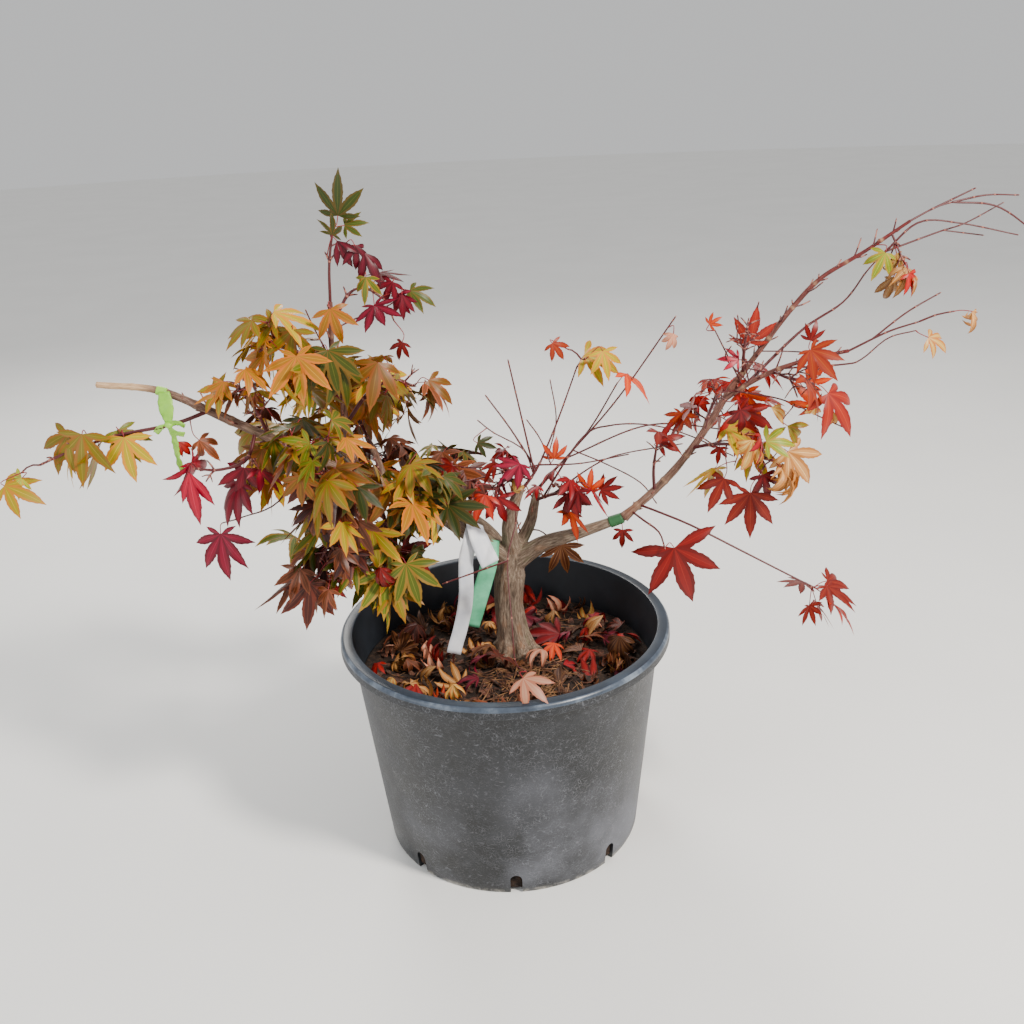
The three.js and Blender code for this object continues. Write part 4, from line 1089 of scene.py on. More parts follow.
class Crown:
    """Everything that has been placed in the crown, with the tests for room."""

    def __init__(self, limbs, masses):
        self.masses = masses
        self.stretches = Stretches()
        self.blades = Neighbours()
        self.wood = Neighbours()
        self.anchors = []
        for name, (curve, radii) in limbs.items():
            self.stretches.add(curve, radii, name)
            self.add_anchors(curve)
        for name, mass in masses.items():
            self.stretches.add(mass["curve"], mass["radii"], name)
            for path, _ in mass["shoots"]:
                self.stretches.add(path, (TWIG["root"], TWIG["tip"]), name)
            for path in (mass["curve"], *(shoot for shoot, _ in mass["shoots"])):
                self.wood.add(path.at(np.linspace(0, 1, WOOD_SAMPLES)))
                self.add_anchors(path)
        half = LABELS["green_width"] / 2
        for key in ("tongue", "tail", "green"):
            self.stretches.add(Curve(LABELS[key]), (half, half), "label")
        self.stretches.close()
        balls = [(*ball, index) for index, mass in enumerate(masses.values()) for ball in mass["balls"]]
        self.balls = np.array(balls)

    def add_anchors(self, path, start=0.1):
        """Points of the wood that single leaves and bare twigs may grow from."""
        self.anchors.extend(path.at(np.linspace(start, 1, path.steps(ANCHOR_GAP, 4))))

    def nearest_anchor(self, point):
        anchors = np.array(self.anchors)
        return anchors[np.linalg.norm(anchors - point, axis=1).argmin()]

    def is_free(self, points, room, wood_from=0):
        """Whether points lie clear of the leaves, and from one of them on clear of the twigs."""
        return not (self.blades.is_near(points, room) or self.wood.is_near(points[wood_from:], room))

    def has_room(self, points, name, limb_room):
        """Whether points lie in their mass's space, clear of limbs, stems, the pot and the compost."""
        index = list(self.masses).index(name)
        away = np.linalg.norm(points[:, None] - self.balls[None, :, :3], axis=2)
        power = away**2 - self.balls[None, :, 3] ** 2
        own = self.balls[:, 4] == index
        mine = np.where(own[None], power, np.inf)
        best = mine.argmin(axis=1)
        held = mine.min(axis=1)
        if (held > 0).any():
            return False
        between = np.linalg.norm(self.balls[best][:, None, :3] - self.balls[None, :, :3], axis=2)
        outside = (power - held[:, None] < -2 * between * ROOM["past_border"]) & ~own[None]
        if outside.any():
            return False
        others = self.stretches.owners != name
        if (self.stretches.nearest(points, others) < limb_room).any():
            return False
        from_axis = np.hypot(points[:, 0], points[:, 1])
        in_pot = from_axis < POT["shoulder_radius"] - POT["wall"] - ROOM["by_pot"]
        by_rim = from_axis < POT["rim_radius"] + ROOM["by_pot"]
        past_rim = np.where(by_rim, POT["height"] + ROOM["above_rim"], -ROOM["under"])
        low = np.where(in_pot, SOIL["level"] + ROOM["above_soil"], past_rim)
        return bool((points[:, 2] > low).all())


class Neighbours:
    """Clusters of points that keep clear of each other."""

    def __init__(self):
        self.clusters = []
        self.centres = np.zeros((0, 3))
        self.reaches = np.zeros(0)

    def add(self, points):
        centre, reach = ball_round(points)
        self.clusters.append(points)
        self.centres = np.vstack([self.centres, centre])
        self.reaches = np.append(self.reaches, reach)

    def is_near(self, points, room):
        centre, reach = ball_round(points)
        close = np.linalg.norm(self.centres - centre, axis=1) < self.reaches + reach + room
        if not close.any():
            return False
        others = np.vstack([self.clusters[i] for i in np.flatnonzero(close)])
        gaps = np.linalg.norm(points[:, None] - others[None], axis=2)
        return bool((gaps < room).any())


def leaf_layout(kind):
    """Points, faces and zones of a kind of leaf, before it is bent."""
    shape = sorted(LEAF_SHAPES[kind])
    stations = (0, *LOBE["stations"], 1)
    widths = (0, *LOBE["widths"], 0)
    columns = (-1, -LOBE["inner"], 0, 0, LOBE["inner"], 1)
    wide, last = len(columns), len(stations) - 1
    rows, faces, zones, teeth = [], [], [], []
    for lobe in range(len(shape)):
        base = len(rows)
        for s, width in zip(stations, widths):
            for index, column in enumerate(columns):
                across = column * width
                if not column and width:
                    across = LOBE["rib"] * (1 - LOBE["rib_taper"] * s) * (1 if index == 3 else -1)
                rows.append((lobe, s, across))
        for row in range(last):
            for column, zone in enumerate((2, 1, 0, 1, 2)):
                a = base + wide * row + column
                if row == 0:
                    faces.append((base, a + wide + 1, a + wide))
                elif row == last - 1:
                    faces.append((a, a + 1, base + wide * last))
                else:
                    faces.append((a, a + 1, a + wide + 1, a + wide))
                zones.append(2 if row == last - 1 and zone else zone)
        for row in range(1, last - 1):
            for column, sign in ((0, -1), (wide - 1, 1)):
                a = base + wide * row + column
                teeth.append((a, a + wide, sign))
    lobe_size = wide * len(stations)
    shared = [(lobe_size * i + 2 * wide - 1, lobe_size * (i + 1) + wide) for i in range(len(shape) - 1)]
    return shape, np.array(rows), faces, zones, teeth, shared


LAYOUTS = {kind: leaf_layout(kind) for kind in LEAF_SHAPES}


def leaf_points(kind, size, bend_at, curl, fold, twist, draw, spread):
    """A leaf's points about its joint. Its middle lobe runs along +Y and its upper face looks up +Z."""
    shape, rows, faces, zones, teeth, shared = LAYOUTS[kind]
    lobes = rows[:, 0].astype(int)
    share = rows[:, 1]

    def by_lobe(values):
        return np.array(list(values))[lobes]

    def varied(value, amount):
        return value + amount * (draw() - 0.5)

    turn = np.radians(by_lobe(varied(angle * spread, UNLIKE["angle"]) for angle, _ in shape))
    lengths = by_lobe(length * size * varied(1, UNLIKE["length"]) for _, length in shape)
    starts = by_lobe(varied(bend_at, UNLIKE["bend"]) for _ in shape)
    curls = by_lobe(max(curl * varied(1, UNLIKE["curl"]), UNLIKE["least_curl"]) for _ in shape)
    twists = by_lobe(varied(0, twist) for _ in shape)
    flat = np.zeros(len(turn))
    out = np.stack([np.sin(turn), np.cos(turn), flat], axis=1)
    side = np.stack([np.cos(turn), -np.sin(turn), flat], axis=1)
    up = np.array((0, 0, 1.0))
    bend = starts + curls * share
    run = lengths * (np.sin(bend) - np.sin(starts)) / curls
    drop = lengths * (np.cos(starts) - np.cos(bend)) / curls
    normal = out * np.sin(bend)[:, None] + up * np.cos(bend)[:, None]
    across = rows[:, 2] * lengths
    lean = (fold + twists * share * np.sign(across)) * np.interp(share, LOBE["palm"], (LOBE["palm_fold"], 1))
    offset = side * (across * np.cos(lean))[:, None] + normal * (np.abs(across) * np.sin(lean))[:, None]
    points = out * run[:, None] - up * drop[:, None] + offset
    for first, second in shared:
        points[[first, second]] = (points[first] + points[second]) / 2
    tips, spikes = [], []
    for a, b, sign in teeth:
        tip = len(points) + len(tips)
        spikes.append((b, a, tip) if sign > 0 else (a, b, tip))
        along = points[b] - points[a]
        tips.append(points[a] + along * LOBE["tooth_at"] + side[a] * sign * LOBE["tooth"] * lengths[a])
    return np.vstack([points, tips]), faces + spikes, zones + [2] * len(spikes)


def blade_axes(ahead, up):
    lobe = unit(ahead)
    face = unit(up - up.dot(lobe) * lobe)
    return np.stack([np.cross(lobe, face), lobe, face])


def branch_off(spot, around, angle):
    """A direction that leaves a curve at an angle, turned round it."""
    _, ahead, side, over = spot
    out = math.cos(around) * side + math.sin(around) * over
    return math.cos(angle) * ahead + math.sin(angle) * out


def lay_twig(wood, path, radii, nodes):
    """Draws a twig with a swollen pale ring at each node."""
    half = TWIG_SKIN["ring"] / path.length

    def gap(t):
        return min(abs(t - at) for at in nodes)

    stops = {0.0, 1.0}
    for t in nodes:
        stops.update((t - half, t, t + half))
    steps = path.steps(TWIG_SKIN["step"], 2)
    stops.update(i / steps for i in range(steps + 1) if gap(i / steps) > 2 * half)
    stops = sorted(stop for stop in stops if 0 <= stop <= 1)
    swell = np.ones(len(stops))
    swell[[gap(t) < 1.1 * half for t in stops]] = TWIG_SKIN["shoulder"]
    swell[[t in nodes for t in stops]] = TWIG_SKIN["swell"]
    radius = read_at(radii, stops)
    sides, rings = TWIG_SKIN["sides"], len(stops) - 1
    middle, ahead, points = rings_along(path, np.array(stops), radius * swell, sides)
    faces = ring_faces(sides, rings, True) + fan(len(points), rings * sides, sides, True)
    pale = [int(low > 1 and high > 1) for low, high in zip(swell, swell[1:])]
    tip = middle[-1] + ahead[-1] * radius[-1] * TWIG_SKIN["bud"]
    wood.add(np.vstack([points, tip]), faces, np.repeat(pale + [1], sides).tolist())


def lay_stalk(wood, points, root, rings):
    body, faces = tube(Curve(points), (root, *PETIOLE["radii"]), PETIOLE["sides"], rings)
    wood.add(body, faces, [2] * len(faces))


def pile_leaf(pile, points, faces, zones, draw):
    """Adds a leaf in one of its tint's shades."""
    shade = len(ZONES) * int(len(SHADES) * draw())
    pile.add(points, faces, [zone + shade for zone in zones])


class Growth:
    """One mass while it grows."""

    def __init__(self, name, crown, leaves, wood):
        self.name = name
        self.crown = crown
        self.leaves = leaves
        self.wood = wood
        self.spec = crown.masses[name]["spec"]
        self.draw = random(self.spec["seed"])
        self.tint = self.spec["tint"]

    def pick_tint(self):
        tints = self.spec["mix"]
        target = self.draw() * sum(tints.values())
        for tint, share in tints.items():
            target -= share
            if target <= 0:
                break
        self.tint = tint

    def leaf(self, start, heading, size, tilt):
        """Places a leaf on its stalk, or gives False where it has no room."""
        draw = self.draw
        crown = self.crown
        length = PETIOLE["length"] * (1 + PETIOLE["spread"] * (2 * draw() - 1))
        joint = start + heading * length
        outward = np.array((heading[0], heading[1], 0))
        if np.linalg.norm(outward) < LEAF["upright"]:
            outward = np.array((draw() - 0.5, draw() - 0.5, 0))
        swing = LEAF["swing"] * (draw() - 0.5)
        flat_way = unit(outward)
        aside = np.array((-flat_way[1], flat_way[0], 0))
        lobe = (flat_way * math.cos(swing) + aside * math.sin(swing)) * math.cos(tilt)
        lobe = lobe - (0, 0, math.sin(tilt))
        turn = math.acos(np.clip(lobe.dot(heading), -1, 1))
        limit = math.radians(PETIOLE["bend"])
        if turn > limit:
            lobe = unit(mix(lobe, heading, 1 - limit / turn))
        roll = [LEAF["roll"] * (2 * draw() - 1) for _ in range(2)]
        up = np.array((roll[0], roll[1] - LEAF["face_front"], 1.0))
        kind = 7 if draw() < LEAF["seven_lobes"] else 5
        dry = self.tint == "straw" or draw() < LEAF["dry"]
        habit = DRY if dry else FRESH
        curl = mix(*habit["curl"], draw())
        fold = mix(*habit["fold"], draw())
        spread = DRY["spread"] if dry else mix(*FRESH["spread"], draw())
        flat, faces, zones = leaf_points(kind, size, LEAF["bend"], curl, fold, LEAF["twist"], draw, spread)
        points = joint + flat @ blade_axes(lobe, up)
        samples = points[6::8]
        stalk = start + np.outer((0.35, 0.6, 0.85), joint - start)
        if not crown.has_room(samples, self.name, ROOM["limb"]):
            return False
        if not crown.has_room(stalk, self.name, ROOM["twig_limb"]):
            return False
        if not crown.is_free(samples, ROOM["leaf"]):
            return False
        crown.blades.add(samples)
        pile_leaf(self.leaves[self.tint], points, faces, zones, draw)
        middle = (start + joint) / 2 + (0, 0, PETIOLE["bow"] * length)
        lay_stalk(self.wood, [start, middle, joint], PETIOLE["root"], PETIOLE["rings"])
        return True

    def leaves_at(self, curve, t, turn, count):
        """Opposite leaves, or a single end leaf, where a twig has a node."""
        draw, spec = self.draw, self.spec
        spot = curve.frame(t)
        angle = math.radians(PETIOLE["angle"] if count > 1 else PETIOLE["end_angle"])
        placed = 0
        for i in range(count):
            if draw() > spec["leafy"] * spec["keep"]:
                continue
            for _ in range(TWIG["tries"]):
                around = turn + math.pi * i + math.radians(PETIOLE["turn_spread"]) * (draw() - 0.5)
                heading = branch_off(spot, around, angle)
                size = LEAF["size"] * spec["scale"] * (1 + LEAF["size_spread"] * (2 * draw() - 1))
                tilt = mix(*spec["tilt"], draw())
                if self.leaf(spot[0] + PETIOLE["off_twig"] * heading, heading, size, tilt):
                    placed += 1
                    break
        return placed

    def twig(self, spot, turn, length, radii, finer):
        """A twig with its leaves, and two finer twigs from its middle."""
        draw, crown, spec = self.draw, self.crown, self.spec
        for _ in range(TWIG["tries"]):
            around = turn + math.radians(TWIG["turn_spread"]) * (draw() - 0.5)
            angle = TWIG["angle"] + TWIG["angle_spread"] * (2 * draw() - 1)
            heading = branch_off(spot, around, math.radians(angle))
            heading = unit(heading + (0, 0, TWIG["rise"] * spec["rise"]))
            reach = length * (1 + TWIG["spread"] * (2 * draw() - 1))
            tip = spot[0] + heading * reach
            middle = (spot[0] + tip) / 2 + (0, 0, TWIG["lift"] * reach)
            path = Curve([spot[0], middle, tip])
            samples = path.at(np.linspace(0.125, 1, 8))
            if not crown.has_room(samples, self.name, ROOM["twig_limb"]):
                continue
            if not crown.is_free(samples, ROOM["twig"], 3):
                continue
            self.pick_tint()
            bud = 1 - TWIG["bud"] / reach
            placed = self.leaves_at(path, bud, around, 2)
            if reach > TWIG["two_nodes"]:
                placed += self.leaves_at(path, TWIG["second_node"], around + math.pi / 2, 2)
            if finer and reach * TWIGLET["share"] > TWIGLET["shortest"]:
                fork = path.frame(TWIGLET["at"])
                for half in (0.5, 1.5):
                    fine = (TWIGLET["root"], TWIGLET["tip"])
                    placed += self.twig(fork, around + math.pi * half, reach * TWIGLET["share"], fine, False)
            # Only a mass that is thinned out keeps twigs without leaves
            if not placed and spec["keep"] == 1:
                continue
            crown.wood.add(samples)
            lay_twig(self.wood, path, radii, (TWIG["second_node"], bud))
            return placed
        return 0

    def run(self):
        """Twigs in opposite pairs along the stem, each pair turned a quarter from the last."""
        mass = self.crown.masses[self.name]
        spec = self.spec
        curve = mass["curve"]
        pairs = spec["pairs"]

        def along(place):
            return mix(spec["bare"], STEM["last_node"], place / pairs)

        marks = []
        for pair in range(pairs):
            marks.append(along(pair + 0.5))
            spot = curve.frame(marks[-1])
            for half in (0, 1):
                turn = math.pi / 2 * pair + math.pi * half
                self.twig(spot, turn, spec["twig"], (TWIG["root"], TWIG["tip"]), True)
            for share in STEM["leaf_nodes"] if pair < pairs - 1 else ():
                self.pick_tint()
                self.leaves_at(curve, along(pair + 0.5 + share), math.pi * (0.5 * pair + 0.25 + share), 2)
        for path, leaves in mass["shoots"]:
            end = 1 - TWIG["bud"] / path.length
            lay_twig(self.wood, path, SHOOT["radii"], path.nodes(SHOOT["node_gap"], end) + [end])
            self.pick_tint()
            if leaves:
                self.leaves_at(path, end, 0, leaves)
        self.pick_tint()
        end = 1 - TWIG["bud"] / curve.length
        self.leaves_at(curve, end, 0, spec["ends"])
        marks = marks or curve.nodes(STEM["node_gap"], end)
        radii = [radius * share for radius, share in zip(mass["radii"], STEM["bark"])]
        lay_twig(self.wood, curve, radii, marks + [end])


def lay_bare_twigs(crown, wood):
    for points, radius in BARE_TWIGS:
        path = Curve([crown.nearest_anchor(points[0]), *points[1:]])
        radii = (radius, mix(radius, BARE_TWIG["tip"], BARE_TWIG["taper"]), BARE_TWIG["tip"])
        lay_twig(wood, path, radii, path.nodes(BARE_TWIG["node_gap"]))
        crown.wood.add(path.at(np.linspace(0.05, 1, WOOD_SAMPLES)))
        crown.add_anchors(path, BARE_TWIG["anchors_from"])


def lay_spurs(limbs, crown, wood):
    draw = random(SPUR["seed"])
    for name, (count, last) in SPURS.items():
        curve = limbs[name][0]
        for i in range(count):
            spot = curve.frame(last * (i + SPUR["first"]) / count)
            for half in (0, 1):
                reach = mix(*SPUR["reach"], draw() ** 2)
                around = math.pi * (0.5 * i + half) + SPUR["turn"] * (draw() - 0.5)
                heading = branch_off(spot, around, mix(*SPUR["angle"], draw()))
                heading = unit(heading + (0, 0, SPUR["lift"]))
                bend = spot[0] + heading * reach * 0.5 - (0, 0, SPUR["sag"] * reach)
                path = Curve([spot[0], bend, spot[0] + heading * reach])
                if crown.blades.is_near(path.at(np.linspace(0.4, 1, 4)), ROOM["twig"]):
                    continue
                nodes = [SPUR["node"]] if reach > SPUR["two_nodes"] else []
                lay_twig(wood, path, SPUR["radii"], nodes + [1 - SPUR["bud"] / reach])
                crown.wood.add(path.at(np.linspace(0.3, 1, 5)))


def hang_lone_leaf(crown, leaves, wood, leaf, draw):
    """A leaf that faces the front, on a stalk and twig from the nearest wood."""
    middle, heading, size, *kind = leaf
    turn = math.radians(heading)
    lobe = unit(np.array((math.cos(turn), LONE["lean"], math.sin(turn))))
    joint = middle - lobe * size * LONE["joint"]
    aside, up = [sway * (draw() - 0.5) for sway in LONE["sway"]]
    face = np.array((aside, LONE["face"][0], LONE["face"][1] + up))
    lay_leaf(crown, leaves, wood, (joint, lobe, face), (size, *kind), draw)


def lay_leaf(crown, leaves, wood, lie, kind, draw):
    """A leaf whose joint, middle lobe and face are given, with its stalk to the nearest wood."""
    joint, lobe, face = lie
    size, tint, lobes, curl = kind
    dry = curl > LONE["dry"]["curl"]
    fold = LONE["dry"]["fold"] if dry else mix(*LONE["fold"], draw())
    spread = LONE["dry"]["spread"] if dry else 1
    flat, faces, zones = leaf_points(lobes, size, LEAF["bend"], curl, fold, LONE["twist"], draw, spread)
    points = joint + flat @ blade_axes(lobe, face)
    pile_leaf(leaves[tint], points, faces, zones, draw)
    crown.blades.add(points[6::8])
    anchor = crown.nearest_anchor(joint)
    away = anchor - joint
    distance = np.linalg.norm(away)
    start = anchor
    if distance > LONE["longest_stalk"]:
        start = joint + away / distance * LONE["stalk"] + LONE["stalk_from"]
        middle = (anchor + start) / 2 + (0, 0, LONE["twig_rise"] * distance)
        twig = Curve([anchor, middle, start])
        lay_twig(wood, twig, LONE["twig"], [1 - LONE["bud"] / twig.length])
        crown.wood.add(twig.at(np.linspace(0.2, 1, 12)))
        crown.anchors.extend(twig.at((0.5, 1)))
    bend = joint - lobe * LONE["along_lobe"] + unit(start - joint) * LONE["along_stalk"]
    lay_stalk(wood, [start, bend, joint], LONE["root"], LONE["rings"])


def leaf_materials(prefix, tint, shades, roughness, gloss):
    """Rib, blade and edge of a tint's leaves, in each shade."""
    return [
        plain_material(f"{prefix}_{tint}_{zone}_{index}", value, shade, roughness, gloss)
        for index, shade in enumerate(shades)
        for zone, value in zip(ZONES, TINTS[tint])
    ]


def make_crown(limbs):
    crown = Crown(limbs, plan_masses(limbs))
    leaves = {tint: Pile() for tint in TINTS}
    wood = Pile()
    lay_bare_twigs(crown, wood)
    draw = random(LONE["seed"])
    for leaf in LONE_LEAVES:
        hang_lone_leaf(crown, leaves, wood, leaf, draw)
    joint, lobe, face = (np.array(RIM_LEAF[key], float) for key in ("joint", "lobe", "face"))
    lay_leaf(crown, leaves, wood, (joint, unit(lobe), face), RIM_LEAF["kind"], draw)
    lay_spurs(limbs, crown, wood)
    for name in MASSES:
        Growth(name, crown, leaves, wood).run()
    for tint, pile in leaves.items():
        if pile.count:
            materials = leaf_materials("leaf", tint, SHADES, 0.42, 0.28)
            nodes = [name for name, row in MASSES.items() if row["tint"] == tint]
            slot = RECORD_TINTS.get(tint, tint)
            place(pile_object(f"foliage_{tint}", pile, materials), f"leaf_{slot}", nodes)
    materials = [
        plain_material("twig_red", 0x561A1C, 1, 0.45),
        plain_material("twig_node", 0xA06454, 1, 0.6),
        plain_material("leaf_stalk", 0x8E2226, 1, 0.45),
    ]
    place(pile_object("twigs", wood, materials), "bark")


def bark_material():
    material, tree = new_material("bark", 0.85)
    grain = node(tree, "ShaderNodeAttribute", attribute_name="grain").outputs["Vector"]
    red = node(tree, "ShaderNodeAttribute", attribute_name="redness").outputs["Fac"]
    pale = node(tree, "ShaderNodeAttribute", attribute_name="bleach").outputs["Fac"]
    fibres = noise_at(tree, scaled(tree, grain, (1, 1, 0.14)), 0.55, 8, 0.68)
    patches = noise_at(tree, scaled(tree, grain, (1, 1, 0.4)), 0.07, 4)
    base = ramp(tree, fibres, [(0.3, 0x3E3229), (0.46, 0x6E5B4C), (0.6, 0x93806D), (0.75, 0xB5A48F)])
    warm = blend_colours(tree, level(tree, patches, 0.55, 0.72, 0, 0.55), base, 0x8A5A36)
    mossy = blend_colours(tree, level(tree, patches, 0.42, 0.3, 0, 0.4), warm, 0x5D6440)
    young = ramp(tree, fibres, [(0.3, 0x3A0E10), (0.55, 0x661A1A), (0.75, 0x8C3E34)])
    aged = blend_colours(tree, red, mossy, young)
    bleached = blend_colours(tree, pale, aged, ramp(tree, fibres, [(0.3, 0xA97C56), (0.7, 0xE2C096)]))
    wire(tree, Base_Color=bleached, Normal=bump(tree, fibres, 0.7, 0.0012))
    return material


def grain_noise(spot, across, along):
    """Noise that is drawn out along a limb."""
    return noise.noise(Vector((spot[0] / across, spot[1] / across, spot[2] / along)))


def relief(points, normals, limbs, names):
    """Bark ridges and cracks pushed along the normals, with the values that the material needs."""
    best = np.full(len(points), np.inf)
    grain = np.zeros((len(points), 3))
    redness = np.zeros(len(points))
    thickness = np.ones(len(points))
    for order, name in enumerate(names):
        curve, radii = limbs[name]
        t = np.linspace(0, 1, curve.steps(BARK["step"], 8))
        centre, ahead, side, over = curve.frame(t)
        gaps = np.linalg.norm(points[:, None] - centre[None], axis=2)
        index = gaps.argmin(axis=1)
        radius = read_at(radii, t)[index]
        surface = gaps.min(axis=1) - radius
        better = surface < best
        away = points - centre[index]
        length = t[index] * curve.length + (away * ahead[index]).sum(axis=1) + BARK["next_limb"] * order
        across = [(away * way[index]).sum(axis=1) for way in (side, over)]
        best = np.where(better, surface, best)
        grain[better] = np.stack([*across, length], axis=1)[better]
        redness[better] = REDNESS.get(name, 0.0)
        thickness[better] = radius[better]
    *ridge, ridge_depth = BARK["ridge"]
    *crack, crack_depth = BARK["crack"]
    ridges = np.array([grain_noise(spot, *ridge) for spot in grain])
    cracks = np.abs([grain_noise(spot, *crack) for spot in grain])
    depth = (ridge_depth * ridges - crack_depth * cracks) * thickness
    return points + normals * depth[:, None], grain, redness


def worked_out(obj):
    """An object's mesh once its modifiers are worked out."""
    depsgraph = bpy.context.evaluated_depsgraph_get()
    return bpy.data.meshes.new_from_object(obj.evaluated_get(depsgraph))


def add_values(obj, grain, redness, bleach):
    mesh = obj.data
    mesh.attributes.new("grain", "FLOAT_VECTOR", "POINT").data.foreach_set("vector", grain.ravel())
    mesh.attributes.new("redness", "FLOAT", "POINT").data.foreach_set("value", redness)
    mesh.attributes.new("bleach", "FLOAT", "POINT").data.foreach_set("value", bleach)


def mesh_arrays(mesh):
    points = np.empty(len(mesh.vertices) * 3)
    normals = np.empty(len(mesh.vertices) * 3)
    mesh.vertices.foreach_get("co", points)
    mesh.vertex_normals.foreach_get("vector", normals)
    faces = [tuple(polygon.vertices) for polygon in mesh.polygons]
    return points.reshape(-1, 3) / MM, normals.reshape(-1, 3), faces


def make_trunk(limbs, material):
    """The trunk and its first boughs flow into each other, so they are fused as one skin."""
    pile = Pile()
    curve, radii = limbs["trunk"]
    sides, rings = SKIN["sides"], SKIN["rings"]
    points, faces = tube(curve, radii, sides, rings)
    middle = curve.at(np.linspace(0, 1, rings + 1))
    for i in range(len(middle) * sides):
        ring, side = divmod(i, sides)
        centre = middle[ring]
        flare = math.exp(-max(centre[2] - SOIL["level"], 0) / TRUNK["flare_height"])
        depth = mix(TRUNK["ridge_above"], TRUNK["ridge_at_foot"], flare)
        angle = 2 * math.pi * side / sides
        ridge = depth * math.cos(TRUNK["ridges"] * angle + TRUNK["ridge_twist"] * ring / rings)
        points[i] = centre + (points[i] - centre) * (1 + ridge)
    pile.add(points, faces)
    foot = np.array(TRUNK["path"][0], float)
    for heading, reach, radius in ROOTS:
        turn = math.radians(heading)
        out = np.array((math.cos(turn), math.sin(turn), 0))
        path = [foot + out * away + (0, 0, up) for away, up in (*ROOT["leaves"], (reach, 0))]
        radii = [radius * share for share in ROOT["radii"]]
        pile.add(*tube(Curve(path), radii, ROOT["sides"], ROOT["rings"]))
    for name in THICK_LIMBS[1:]:
        curve, (root, tip) = limbs[name]
        swollen = (root * COLLAR["swell"], *np.linspace(root, tip, 5))
        pile.add(*tube(curve, swollen, COLLAR["sides"], COLLAR["rings"]))
    rough = pile_object("rough_trunk", pile, [material])
    remesh = rough.modifiers.new("skin", "REMESH")
    remesh.mode = "VOXEL"
    remesh.voxel_size = SKIN["voxel"] * MM
    smooth = rough.modifiers.new("soften", "SMOOTH")
    smooth.factor = SKIN["soften"]
    smooth.iterations = SKIN["passes"]
    points, normals, faces = mesh_arrays(worked_out(rough))
    bpy.data.objects.remove(rough)
    points, grain, redness = relief(points, normals, limbs, THICK_LIMBS)
    obj = make_object("trunk_and_boughs", points, faces, [material])
    add_values(obj, grain, redness, np.zeros(len(points)))
    place(obj, "bark", THICK_LIMBS)


def make_branches(limbs, material):
    names = [name for name in limbs if name not in THICK_LIMBS]
    pile = Pile()
    grains, reds, bleaches = [], [], []
    sides = BRANCH["sides"]
    scar_depth, scar_width = BRANCH["scar"]
    pale_depth, pale_width = BRANCH["pale_scar"]
    *uneven, uneven_depth = BRANCH["uneven"]
    for order, name in enumerate(names):
        curve, radii = limbs[name]
        red = REDNESS[name]
        rings = curve.steps(BRANCH["ring_gap"], 6)
        swell = [
            read_at(radii, t) * (1 + BRANCH["collar"] * math.exp(-t * curve.length / BRANCH["collar_length"]))
            for t in np.linspace(0, 1, 12)
        ]
        points, faces = tube(curve, swell, sides, rings)
        t = np.linspace(0, 1, rings + 1)
        along = np.repeat(t, sides) * curve.length
        ring = np.tile(circle(sides), (rings + 1, 1)) * read_at(radii, along / curve.length)[:, None]
        grain = np.column_stack([ring, along + BRANCH["next_limb"] * order])
        grain = np.vstack([grain, grain[0], grain[-1]])
        from_scar = (grain[:, 2] - BRANCH["next_limb"] * order) % BRANCH["scar_gap"] - BRANCH["scar_gap"] / 2
        scars = scar_depth * np.exp(-((from_scar / scar_width) ** 2))
        for i, centre in enumerate(np.repeat(curve.at(t), sides, axis=0)):
            wide = uneven_depth * grain_noise(grain[i], *uneven)
            points[i] = centre + (points[i] - centre) * (1 + wide + scars[i])
        pile.add(points, faces)
        grains.append(grain)
        share = np.append(along, (0, curve.length)) / curve.length
        reds.append(np.clip(red * (0.6 + 0.6 * share), 0, 1))
        pale = pale_depth * red * np.exp(-((from_scar / pale_width) ** 2))
        end = np.clip((share - STUB["start"]) / STUB["run"], 0, 1) if name == STUB["limb"] else 0
        bleaches.append(np.maximum(pale, end))
    obj = pile_object("branches", pile, [material])
    add_values(obj, np.vstack(grains), np.concatenate(reds), np.concatenate(bleaches))
    place(obj, "bark", names)


def lathe(profile, sides):
    """A closed surface turned round the Z axis, where its profile starts and ends, and each face's row."""
    inner = profile[1:-1]
    ring = circle(sides)
    points = [(r * c, r * s, z) for r, z in inner for c, s in ring]
    bottom, top = len(points), len(points) + 1
    points += [(0, 0, profile[0][1]), (0, 0, profile[-1][1])]
    last = len(inner) - 1
    faces = fan(bottom, 0, sides, True) + ring_faces(sides, last) + fan(top, last * sides, sides)
    return np.array(points), faces, np.repeat(np.arange(last + 2), sides).tolist()


